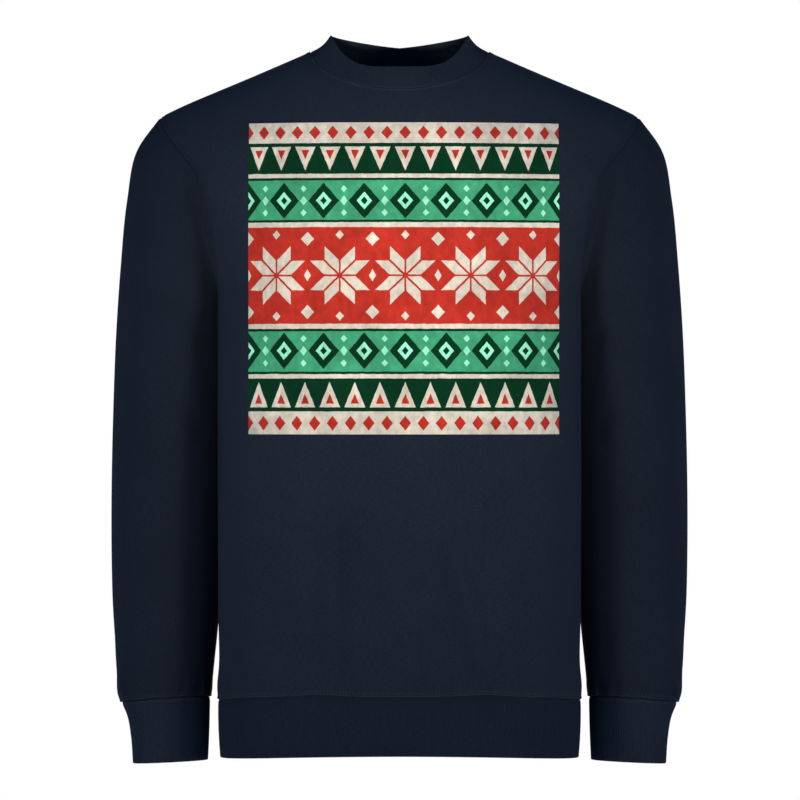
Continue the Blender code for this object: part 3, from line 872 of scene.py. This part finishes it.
# A knit's width of a stitch, its height of a row of them, and its depth
FLEECE_KNIT = (0.0014, 0.0012, 0.0004)
INSIDE_KNIT = (0.0030, 0.0030, 0.0008)
INSIDE_NAVY = (0.0075, 0.0110, 0.0205, 1)
front_material = knit_material("Printed fleece", NAVY, *FLEECE_KNIT, chest_print)
fleece_material = knit_material("Fleece", NAVY, *FLEECE_KNIT)
# The sleeves' material carries the darker navy as painted shade.
sleeve_painted_shade_material = knit_material("Sleeve fleece with painted shade", SLEEVE_NAVY_PAINTED_SHADE, *FLEECE_KNIT)
inside_material = knit_material("Brushed inside", INSIDE_NAVY, *INSIDE_KNIT)


def finish_cloth(piece, node, outer_material, grid, closed=False):
    """Gives a shell its two materials, puts it in its node's place and works out the area of its cloth."""
    piece.data.materials.append(outer_material)
    piece.data.materials.append(inside_material)
    faces = (grid.shape[0] - 1) * (grid.shape[1] if closed else grid.shape[1] - 1)
    slots = np.ones(len(piece.data.polygons), dtype=np.int32)
    slots[:faces] = 0
    piece.data.polygons.foreach_set("material_index", slots)
    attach(piece, "root")
    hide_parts(node)
    cloth_area(grid, closed)


# The sleeve's form is worked out here already, because it shares the armhole seams with the panels
SLEEVE_ROWS = 130
SLEEVE_HEAD_ROWS = 40
SLEEVE_CROWDING = 1.2
SLEEVE_SQUARENESS = 2.2
Ring = namedtuple("Ring", "outer_x outer_z inner_x inner_z y half_depth")
SLEEVE_RINGS = (
    Ring(0.2440, -0.0660, 0.1848, -0.2500, 0.0040, 0.0680),
    Ring(0.2682, -0.1010, 0.1838, -0.2570, 0.0060, 0.0700),
    Ring(0.2780, -0.1500, 0.1832, -0.2680, 0.0085, 0.0710),
    Ring(0.2848, -0.2180, 0.1830, -0.2880, 0.0120, 0.0700),
    Ring(0.2895, -0.2840, 0.1823, -0.3220, 0.0160, 0.0670),
    Ring(0.2928, -0.3650, 0.1812, -0.3780, 0.0190, 0.0630),
    Ring(0.2946, -0.4470, 0.1808, -0.4500, 0.0200, 0.0580),
    Ring(0.2946, -0.5080, 0.1815, -0.5080, 0.0190, 0.0530),
    Ring(0.2930, -0.5700, 0.1840, -0.5690, 0.0150, 0.0470),
    Ring(0.2890, -0.6310, 0.1896, -0.6280, 0.0090, 0.0390),
    Ring(0.2866, -0.6570, 0.1921, -0.6530, 0.0070, 0.0350),
    Ring(0.2834, -0.6645, 0.1933, -0.6584, 0.0065, 0.0320),
)
CUFF_SEAM_LIFT = 0.0031
SLEEVE_TROUGHS = (
    Trough(0.2620, -0.0300, -0.3450, 60, 0.040, 0.011, 0.0022),
    Trough(0.2200, -0.0380, -0.3650, 50, 0.045, 0.012, 0.0024),
    Trough(0.2100, -0.0330, -0.4000, -52, 0.040, 0.010, 0.0018),
    Trough(0.2050, -0.0420, -0.2900, 40, 0.050, 0.012, 0.0022),
    Trough(0.2380, 0.0800, -0.3900, 65, 0.050, 0.013, 0.0024),
    Trough(0.2200, 0.0780, -0.3400, -45, 0.045, 0.012, 0.0020),
    Trough(0.2500, 0.0750, -0.4500, 70, 0.040, 0.011, 0.0016),
    Trough(0.2850, -0.0050, -0.5600, 5, 0.060, 0.012, 0.0014, 20),
    Trough(0.2400, -0.0300, -0.6100, 12, 0.040, 0.010, 0.0016),
    Trough(0.2500, 0.0480, -0.6150, -12, 0.040, 0.010, 0.0016),
    Trough(0.2560, -0.0480, -0.1700, 28, 0.055, 0.012, 0.0012),
    Trough(0.2620, 0.0700, -0.1900, 24, 0.060, 0.013, 0.0016),
)


def ring_table(rings, count, crowding=1.0):
    """A table of rings read along its outer line, evenly or crowded towards its top."""
    rows = np.array(rings)
    at = lengths(rows[:, :2])
    return cubic(at, rows, np.linspace(0, 1, count) ** crowding * at[-1])


def oval(ring, half_count):
    """One ring of a sleeve or cuff, from its outer end round the front and back."""
    outer = np.array((ring[0], ring[4], ring[1]))
    inner = np.array((ring[2], ring[4], ring[3]))
    middle = (outer + inner) / 2
    turn = np.linspace(0, np.pi, FINE)
    long = np.sign(np.cos(turn)) * np.abs(np.cos(turn)) ** (2 / SLEEVE_SQUARENESS)
    deep = np.sin(turn) ** (2 / SLEEVE_SQUARENESS)
    shares = np.linspace(0, 1, half_count + 1)
    forward = np.outer(deep * ring[5], (0, -1, 0))
    front = spaced(middle + np.outer(long, outer - middle) + forward, shares)
    back = spaced(middle + np.outer(long, outer - middle) - forward, shares)
    return np.concatenate((front, back[-2:0:-1]))


def lift_front(grid, rings, share):
    """Lifts the front of each ring and lowers its back, as the cuff seam hangs."""
    grid[..., 2] += CUFF_SEAM_LIFT * share[:, None] * (rings[:, 4:5] - grid[..., 1]) / rings[:, 5:6]


def around(grid):
    """A closed grid's map in metres, with one more column where it meets itself."""
    closed = closed_up(grid)
    return np.stack((along_rows(closed), up_columns(closed)), axis=2)


def sleeve_grid():
    """The left sleeve: rings from the armhole seam down to the cuff seam."""
    rings = ring_table(SLEEVE_RINGS, SLEEVE_ROWS + 1, SLEEVE_CROWDING)
    front = armhole_half(0, UNDERARM_INDEX)
    back = armhole_half(UNDERARM_INDEX, len(ARMHOLE))
    seam = np.concatenate((front, back[1:-1]))
    grid = np.array([oval(ring, ARMHOLE_ROWS) for ring in rings])
    off_oval = seam - grid[0]
    for i in range(SLEEVE_HEAD_ROWS):
        grid[i] += off_oval * (1 - i / SLEEVE_HEAD_ROWS) ** 2
    lift_front(grid, rings, soft(rings[:, 1] - rings[-1, 1], 0.050))
    return grid


def fine_sleeve():
    """The left sleeve from the cuff seam up, starting at its underarm seam, with closer rows at its ends."""
    grid = np.roll(sleeve_grid()[::-1, ::-1], 1 - ARMHOLE_ROWS, axis=1)
    grid = resample(grid, crowded(grid.shape[0], True, True), 0)
    return grid, facing(grid, closed=True)


front_grid, front_outward = fine_panel("front")
back_grid, back_outward = fine_panel("back")
sleeve, sleeve_outward = fine_sleeve()
meeting = [(front_grid, front_outward, EDGES), (back_grid, back_outward, EDGES)]
meeting += [(sleeve, sleeve_outward, EDGES[1:2]), (sleeve * MIRROR, sleeve_outward * MIRROR, EDGES[1:2])]
share_at_seams(meeting)
front_outward = sewn_panel("front", front_grid, front_outward, FRONT_TROUGHS)
back_outward = sewn_panel("back", back_grid, back_outward, BACK_TROUGHS)

front_maps = {"Cloth": cloth_map(front_grid), "Print": print_map(front_grid)}
front = shell("front_panel", front_grid, front_grid - front_outward * FLEECE, front_maps)
finish_cloth(front, "front", front_material, front_grid)
back = shell("back_panel", back_grid, back_grid - back_outward * FLEECE, {"Cloth": cloth_map(back_grid)})
finish_cloth(back, "back", fleece_material, back_grid)


# ---------------------------------------------------------------------------------------------
# Sleeves: one piece of the same fleece each, sewn into the armhole by its curved head and closed
# along the underarm. The cloth gathers a little where the cuff draws it in.

GATHER = 0.0010
GATHER_ABOVE = 0.006
GATHER_REACH = 0.013
HELD_BY_CUFF = 0.002
Gather = namedtuple("Gather", "waves phase share")
GATHERS = (Gather(11, 0.4, 0.55), Gather(17, 2.1, 0.45), Gather(26, 4.0, 0.25))


def sewn_sleeve(grid, outward):
    """The sleeve with its creases, its rolled-in ends, the lip and gathers above the cuff, and the
    hollow beside the armhole."""
    up = up_columns(grid)
    down = up[-1:] - up
    press(grid, outward, SLEEVE_TROUGHS, np.minimum(up, down))
    outward = out_at_seams(grid, outward, EDGES[1:2], (down,), closed=True)
    dip = ROLL * soft(up, ROLL_WIDTH) + ROLL * soft(down, ROLL_WIDTH) - lip(CUFF_LIP, up)
    turn = np.linspace(0, 2 * np.pi, grid.shape[1], endpoint=False)
    waves = sum(g.share * np.sin(g.waves * turn + g.phase) for g in GATHERS)
    dip += GATHER * waves * soft(up - GATHER_ABOVE, GATHER_REACH) * (1 - soft(up, HELD_BY_CUFF))
    grid -= outward * dip[..., None]
    ahead, behind = np.clip(-outward[..., 1], 0, 1), np.clip(outward[..., 1], 0, 1)
    hollow = beside_armhole(ARMHOLE_HOLLOW, grid[..., 2], down)
    grid[..., 1] += hollow * (ARMHOLE_HOLLOW.front * ahead - ARMHOLE_HOLLOW.back * behind)
    return outward


sleeve_outward = sewn_sleeve(sleeve, sleeve_outward)
for side, grid, outward in (
    ("left", sleeve, sleeve_outward),
    ("right", sleeve[:, ::-1] * MIRROR, sleeve_outward[:, ::-1] * MIRROR),
):
    maps = {"Cloth": around(grid)}
    piece = shell("sleeve_" + side + "_cloth", grid, grid - outward * FLEECE, maps, closed=True)
    finish_cloth(piece, "sleeve_" + side, sleeve_painted_shade_material, grid, closed=True)


# ---------------------------------------------------------------------------------------------
# Neckband: one strip of rib knit, folded double along its top edge and sewn into the neckline by
# both raw edges. Its ribs stand up along it, and it is stretched to lie in toward the neck.

RIB_DOUBLE = 0.0024
RIB_RELIEF = 0.00030
POINTS_PER_RIB = 5
# The fold is pinched at its seam, and the ribs flatten out there
SEAM_PINCH = 0.55
SEAM_PINCH_REACH = 0.0016
RIB_FADE = 0.0030
# The band's raw edges go on past the seam, behind the panel's rolled edge
TUCK_PAST_SEAM = 0.0022
TUCK_IN = 0.0018
RIB_KNIT = (0.0011, 0.0012, 0.0003)
# Rows up a band's outside and down its inside
BAND_ROWS = (12, 8)
NECK_BULGE = 0.0005
NECK_SIDE_DRAW = 0.0032
MAP_STEP = 0.003
NECK_RIBS = {"front": 104, "back": 90}
BAND_TOP_HALF_WIDTH = 0.0700
BAND_TOP_Y = {"front": -0.0595, "side": 0.0040, "back": 0.0530}
BAND_TOP_Z = {"front": -0.0175, "side": 0.0178, "back": 0.0070}
BAND_TOP_SAG = {"front": 4.2, "back": 1.25}


def folded_wall(height, outer_rows, inner_rows, columns):
    """Rows round a folded band with every rib raised: how far up each row is, how much it faces out
    and over the fold, and how far it stands off the fold's middle at each column."""
    radius = RIB_DOUBLE / 2
    straight = height - radius
    rows = [(h, 0.0) for h in np.linspace(0, 1, outer_rows) ** 1.4 * straight]
    rows += [(straight, turn) for turn in np.linspace(0, np.pi, 7)[1:-1]]
    rows += [(h, np.pi) for h in np.linspace(1, 0, inner_rows) ** 1.4 * straight]
    phase = np.arange(columns) % POINTS_PER_RIB / POINTS_PER_RIB
    relief = RIB_RELIEF * (np.abs(np.sin(np.pi * phase)) ** 0.8 - 1)
    for h, turn in rows:
        pinch = 1 - SEAM_PINCH * soft(h, SEAM_PINCH_REACH)
        thick = (radius + relief * min(1.0, h / RIB_FADE)) * pinch
        yield h, np.cos(turn), np.sin(turn), thick[:, None]


def rib_band(seam, edge, outward, bulge):
    """A folded band between its seam and its folded edge, with every rib raised. bulge is how far
    its middle swells out at each column."""
    up = edge - seam
    height = np.linalg.norm(up, axis=1, keepdims=True)
    upward = up / height
    outward = unit(outward - upward * np.sum(outward * upward, axis=1, keepdims=True))
    mean = float(height.mean())
    grid = []
    for h, out, over, thick in folded_wall(mean, *BAND_ROWS, len(seam)):
        share = h / mean
        swell = bulge * np.sin(np.pi * min(share, 1.0)) - RIB_DOUBLE / 2
        core = seam + up * share + outward * swell[:, None]
        grid.append(core + (outward * out + upward * over) * thick)
    tucked = -upward * TUCK_PAST_SEAM - outward * TUCK_IN
    return np.array([grid[0] + tucked] + grid + [grid[-1] + tucked])


def sew_band(name, grid, rib, node):
    """A band's mesh round its whole profile, closed along the sewn edge, in its node's place."""
    rows, columns = grid.shape[:2]
    faces = quads(rows, columns, looped=True, closed=True)
    values = around(grid)
    values = np.concatenate((values, values[:1] + (0, MAP_STEP)))
    corners = values[counted_on(faces // columns, rows), counted_on(faces % columns, columns)]
    piece = new_piece(name, grid, faces.tolist(), {"Cloth": corners})
    piece.data.materials.append(rib)
    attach(piece, "root")
    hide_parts(node)


def ring_steps(ring, count):
    """So many even steps along an open line, without its last point."""
    return spaced(ring, np.linspace(0, 1, count + 1))[:-1]


def band_top(name):
    """Half the folded edge of the neckband, from its middle to its side."""
    turn = np.linspace(0, np.pi / 2, FINE)
    x = BAND_TOP_HALF_WIDTH * np.sin(turn)
    y = BAND_TOP_Y["side"] + (BAND_TOP_Y[name] - BAND_TOP_Y["side"]) * np.cos(turn)
    rise = np.sin(turn) ** BAND_TOP_SAG[name]
    z = BAND_TOP_Z[name] + (BAND_TOP_Z["side"] - BAND_TOP_Z[name]) * rise
    return np.stack((x, y, z), axis=1)


def closed_outward(seam, edge):
    """The way out of a band, square to it."""
    along = np.roll(seam + edge, -1, axis=0) - np.roll(seam + edge, 1, axis=0)
    return unit(np.cross(along, edge - seam))


neck_seam = []
neck_edge = []
for name, order in (("front", 1), ("back", -1)):
    count = NECK_RIBS[name] * POINTS_PER_RIB
    neck_seam.append(ring_steps(panel(name)[-1, NECKLINE], count))
    neck_edge.append(ring_steps(both_sides(band_top(name))[::order], count))
neck_seam = np.concatenate(neck_seam)
neck_edge = np.concatenate(neck_edge)
neck_outward = closed_outward(neck_seam, neck_edge)
neck_beside = np.clip(np.abs(neck_seam[:, 0]) / NECK_HALF_WIDTH, 0, 1)
neck_grid = rib_band(neck_seam, neck_edge, neck_outward, NECK_BULGE - NECK_SIDE_DRAW * neck_beside**4)
neck_rib = knit_material("Neck rib", NAVY, *RIB_KNIT)
sew_band("neckband_rib", neck_grid, neck_rib, "neckband")


# ---------------------------------------------------------------------------------------------
# Cuffs: a short tube of the same rib on each sleeve, folded double at the wrist and sewn on by both
# raw edges. It is smaller round than the sleeve, so it draws the sleeve's end in.

# The cuffs' navy is a little lighter than the neckband's: painted light on the cuffs.
CUFF_RIB_PAINTED_LIGHT = (0.0108, 0.0175, 0.0324, 1)
CUFF_RIBS_HALF = 44
CUFF_ROWS = (16, 10)
CUFF_RINGS = (
    SLEEVE_RINGS[-1],
    Ring(0.2782, -0.6765, 0.1936, -0.6720, 0.0062, 0.0290),
    Ring(0.2742, -0.6980, 0.1942, -0.6950, 0.0058, 0.0255),
    Ring(0.2722, -0.7258, 0.1954, -0.7220, 0.0055, 0.0240),
)


def cuff_grid():
    """The left cuff round its whole profile, following its waisted shape."""
    rings = ring_table(CUFF_RINGS, 25)
    wall = np.array([oval(ring, CUFF_RIBS_HALF * POINTS_PER_RIB) for ring in rings])
    lift_front(wall, rings, np.linspace(1, 0, len(rings)))
    shape = (wall, facing(wall, closed=True), unit(np.gradient(wall, axis=0)))
    mean = up_columns(wall).mean(axis=1)
    grid = []
    for h, out, over, thick in folded_wall(float(mean[-1]), *CUFF_ROWS, wall.shape[1]):
        at = np.array([np.interp(h, mean, np.arange(len(mean)))])
        here, outward, down = (resample(a, at, 0)[0] for a in shape)
        grid.append(here - outward * RIB_DOUBLE / 2 + (outward * out + down * over) * thick)
    return np.array(grid)


cuff = cuff_grid()
cuff_rib_painted_light = knit_material("Cuff rib with painted light", CUFF_RIB_PAINTED_LIGHT, *RIB_KNIT)
for side, grid in (("left", cuff), ("right", cuff[:, ::-1] * MIRROR)):
    sew_band("cuff_" + side + "_rib", grid, cuff_rib_painted_light, "cuff_" + side)


# ---------------------------------------------------------------------------------------------
# Hem band: a long strip of the same rib, folded double along the bottom and sewn all round the lower
# edges of the front and back by both raw edges. It is stretched a little, so it draws them in.

# The hem band's navy is darker than the neckband's: painted shade on the band.
HEM_RIB_PAINTED_SHADE = (0.0073, 0.0121, 0.0236, 1)
HEM_RIBS = {"front": 208, "back": 204}
HEM_BOTTOM_Z = {"front": -0.7120, "side": -0.7175, "back": -0.7165}
HEM_BULGE = 0.0008

hem_edge = []
hem_seam = []
for name, order in (("front", 1), ("back", -1)):
    count = HEM_RIBS[name] * POINTS_PER_RIB
    bottom = level_ring(name, HEM_BOTTOM_Z["side"], HEM_BOTTOM_Z[name] - HEM_BOTTOM_Z["side"])
    hem_edge.append(ring_steps(both_sides(bottom)[::order], count))
    hem_seam.append(ring_steps(both_sides(lower_rows(name)[0])[::order], count))
hem_edge = np.concatenate(hem_edge)
hem_seam = np.concatenate(hem_seam)
hem_outward = -closed_outward(hem_seam, hem_edge)
hem_grid = rib_band(hem_seam, hem_edge, hem_outward, np.full(len(hem_seam), HEM_BULGE))
hem_rib_painted_shade = knit_material("Hem rib with painted shade", HEM_RIB_PAINTED_SHADE, *RIB_KNIT)
sew_band("hem_band_rib", hem_grid[:, ::-1], hem_rib_painted_shade, "hem_band")


# ---------------------------------------------------------------------------------------------
# Topstitching in navy polyester thread: dark rows beside the armholes and on the neckband, darker
# than the cloth as painted shade for their seam grooves, and lighter ones just under the neck, above
# the hem seam and on both sides of the cuff seams, partly real thread and partly a painted highlight.
# Short upright stitches stand above the hem and cuff rows.

STITCH_PITCH = 0.0033
STITCH_LENGTH = 0.0027
STITCH_WIDTH = 0.0007
UPRIGHT_LENGTH = 0.0034
UPRIGHT_WIDTH = 0.0006
STITCH_SINK = 0.05
UPRIGHT_SINK = 0.12
STITCH_HEIGHT = 0.8
ROWS_ABOVE_UNDERARM = 0.003
# How far each row is from its seam
HEM_STITCH_ABOVE = 0.0036
CUFF_STITCH_ABOVE = 0.0034
CUFF_STITCH_BELOW = 0.0024
UPRIGHT_ABOVE = 0.0058
NECK_STITCH_ABOVE = 0.0030
NECK_STITCH_BELOW = 0.0034


def thread(name, low, high):
    """Twisted thread: a shine that breaks up along each stitch."""
    made = bpy.data.materials.new(name)
    made.use_nodes = True
    tree = made.node_tree
    shader = tree.nodes["Principled BSDF"]
    shader.inputs["Specular IOR Level"].default_value = 0.12
    place = tree.nodes.new("ShaderNodeTexCoord")
    twist = noise(tree, place.outputs["Object"], 2600, 1)
    shade = blended(tree, twist.spread(0.3, 0.7, 0, 1), low, high)
    tree.links.new(shade, shader.inputs["Base Color"])
    plug(tree, shader.inputs["Roughness"], twist.spread(0.3, 0.7, 0.65, 0.85))
    return made


# The seam thread is darker than the cloth: painted shade, for the shade in the seam grooves.
seam_thread_painted_shade = thread("Seam thread painted darker", (0.0040, 0.0070, 0.0150, 1), (0.0080, 0.0130, 0.0250, 1))
# The band and neck threads are lighter than the cloth: real thread, and partly a painted highlight along the
# rows at the hem, the cuffs and under the neck.
band_thread_and_highlight = thread("Band thread with painted highlight", (0.0180, 0.0270, 0.0450, 1), (0.0300, 0.0420, 0.0660, 1))
neck_thread_and_highlight = thread("Neck thread with painted highlight", (0.0200, 0.0300, 0.0490, 1), (0.0320, 0.0450, 0.0700, 1))


def one_stitch():
    """A stitch's points along, across and up, and its faces: a short bar with rounded ends."""
    points = []
    for along, girth in ((-0.5, 0.35), (-0.34, 1.0), (0.34, 1.0), (0.5, 0.35)):
        for turn in np.arange(6) * np.pi / 3:
            points.append((along, girth * np.cos(turn) / 2, girth * np.sin(turn) / 2))
    faces = [tuple(map(int, face)) for face in quads(4, 6, closed=True)]
    return np.array(points), faces + [tuple(range(5, -1, -1)), tuple(range(18, 24))]


def stitches(name, lines, node, material, uprights=()):
    """Rows of stitches along lines of points, each with the way out of the cloth at every point.
    The stitches on the upright lines stand square to them, close into the knit."""
    shape, shape_faces = one_stitch()
    points = []
    faces = []
    for line, outward, upright in [(*row, False) for row in lines] + [(*row, True) for row in uprights]:
        at = lengths(line)
        count = int(at[-1] / STITCH_PITCH)
        middles = (np.arange(count) + 0.5) * at[-1] / count
        start, end = (read_line(line, at, middles + side * STITCH_LENGTH / 2) for side in (-1, 1))
        out = unit(read_line(outward, at, middles))
        along = unit(end - start)
        across = unit(np.cross(out, along))
        centre = (start + end) / 2 - out * STITCH_WIDTH * (UPRIGHT_SINK if upright else STITCH_SINK)
        length, width = (UPRIGHT_LENGTH, UPRIGHT_WIDTH) if upright else (STITCH_LENGTH, STITCH_WIDTH)
        if upright:
            along, across = across, -along
        for i in range(count):
            first = len(points) * len(shape)
            axes = np.stack((along[i] * length, across[i] * width, out[i] * STITCH_WIDTH * STITCH_HEIGHT))
            points.append(centre[i] + shape @ axes)
            faces += [tuple(first + v for v in face) for face in shape_faces]
    piece = new_piece(name, np.concatenate(points), faces, {})
    fix = bmesh.new()
    fix.from_mesh(piece.data)
    bmesh.ops.recalc_face_normals(fix, faces=fix.faces)
    fix.to_mesh(piece.data)
    fix.free()
    piece.data.materials.append(material)
    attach(piece, "root")


def line_in(grid, outward, distance, closed=False):
    """A line at a set distance from the foot of a grid, and the way out of the cloth along it."""
    run = up_columns(grid)
    columns = [*range(grid.shape[1])] + [0] * closed
    return [np.array([read_line(a[:, c], run[:, c], distance) for c in columns]) for a in (grid, outward)]


for side, order in (("left", -1), ("right", 1)):
    lines = []
    for grid, outward, turn in ((front_grid, front_outward, order), (back_grid, back_outward, -order)):
        rows = [r for r in range(len(grid)) if grid[r, -1, 2] > UNDERARM[2] + ROWS_ABOVE_UNDERARM][:-1]
        from_armhole = (a[rows, ::turn].swapaxes(0, 1) for a in (grid, outward))
        lines.append(line_in(*from_armhole, ARMHOLE_STITCHES))
    stitches("armhole_stitching_" + side, lines, "front", seam_thread_painted_shade)

body = ((front_grid, front_outward), (back_grid, back_outward))
hem_rows = [line_in(grid, outward, HEM_STITCH_ABOVE) for grid, outward in body]
hem_uprights = [line_in(grid, outward, UPRIGHT_ABOVE) for grid, outward in body]
stitches("hem_stitching", hem_rows, "front", band_thread_and_highlight, hem_uprights)

band_face = neck_grid[1 : 1 + BAND_ROWS[0]]
band_row = line_in(band_face, facing(band_face, closed=True), NECK_STITCH_ABOVE, closed=True)
stitches("neck_stitching", [band_row], "neckband", seam_thread_painted_shade)
under_neck = []
for grid, outward in body:
    beside = np.abs(grid[-1, :, 0]) < NECK_HALF_WIDTH
    under_neck.append(line_in(grid[::-1, beside], outward[::-1, beside], NECK_STITCH_BELOW))
stitches("under_neck_stitching", under_neck, "front", neck_thread_and_highlight)

cuff_face = cuff[: CUFF_ROWS[0]]
cuff_lines = [
    line_in(sleeve, sleeve_outward, CUFF_STITCH_ABOVE, closed=True),
    line_in(cuff_face, facing(cuff_face, closed=True), CUFF_STITCH_BELOW, closed=True),
    line_in(sleeve, sleeve_outward, UPRIGHT_ABOVE, closed=True),
]
for side, way in (("left", 1), ("right", MIRROR)):
    lines = [(line * way, outward * way) for line, outward in cuff_lines]
    stitches("cuff_stitching_" + side, lines[:2], "cuff_" + side, band_thread_and_highlight, lines[2:])


# ---------------------------------------------------------------------------------------------
# Studio: a pale floor as far down as a wearer's feet would be. Two soft lights cross in front, with
# two small low ones for the sleeve ends and one in the middle for the neck. Two more stand at the
# sides behind and one straight behind, and the camera sees the dim blue surround as white.

bpy.ops.object.select_all(action="DESELECT")
bpy.ops.mesh.primitive_plane_add(size=9, location=(0, 0, -1.45))
floor = bpy.context.object
floor.name = "floor"
bpy.ops.object.transform_apply(location=True, rotation=True, scale=True)
floor_material = bpy.data.materials.new("Pale floor")
floor_material.use_nodes = True
floor_shader = floor_material.node_tree.nodes["Principled BSDF"]
floor_shader.inputs["Base Color"].default_value = (0.86, 0.86, 0.87, 1)
floor_shader.inputs["Roughness"].default_value = 0.9
floor.data.materials.append(floor_material)

Lamp = namedtuple("Lamp", "name x y z size power spread aim_x aim_z")
LAMPS = (
    Lamp("front_left", -2.95, -2.70, -0.30, 0.9, 1.86, 22, 0.24, -0.60),
    Lamp("front_right", 2.95, -2.70, -0.30, 0.9, 1.84, 22, -0.24, -0.60),
    Lamp("low_left", -1.90, -3.40, -0.90, 0.5, 0.11, 8, -0.28, -0.57),
    Lamp("low_right", 1.90, -3.40, -0.90, 0.5, 0.12, 8, 0.27, -0.57),
    Lamp("front_middle", 0.0, -4.00, -1.0, 0.3, 0.90, 13, 0.0, -0.05),
    Lamp("side_left", -2.4, 1.9, -0.2, 1.4, 3, 180, 0.0, -0.3),
    Lamp("side_right", 2.4, 1.9, -0.2, 1.4, 3, 180, 0.0, -0.3),
    Lamp("rear", 0.0, 3.0, 0.2, 1.8, 36, 180, 0.0, -0.3),
)
for lamp in LAMPS:
    light = bpy.data.lights.new(lamp.name, "AREA")
    light.shape = "SQUARE"
    light.size = lamp.size
    light.energy = lamp.power
    light.color = (1.0, 0.90, 0.72)
    light.spread = float(np.radians(lamp.spread))
    made = bpy.data.objects.new(lamp.name, light)
    made.location = (lamp.x, lamp.y, lamp.z)
    toward = np.array((lamp.aim_x, 0, lamp.aim_z)) - np.array((lamp.x, lamp.y, lamp.z))
    level = float(np.hypot(toward[0], toward[1]))
    made.rotation_euler = (float(np.arctan2(level, -toward[2])), 0, float(np.arctan2(-toward[0], toward[1])))
    bpy.context.scene.collection.objects.link(made)

SURROUND_BLUE = (0.05, 0.15, 0.30, 1)
SEEN_WHITE = (1, 1, 1, 1)
world = bpy.data.worlds.new("Surround")
world.use_nodes = True
tree = world.node_tree
seen = tree.nodes.new("ShaderNodeLightPath").outputs["Is Camera Ray"]
background = tree.nodes["Background"].inputs
tree.links.new(blended(tree, seen, SURROUND_BLUE, SEEN_WHITE), background["Color"])
bpy.context.scene.world = world
bpy.context.scene.view_settings.view_transform = "Standard"
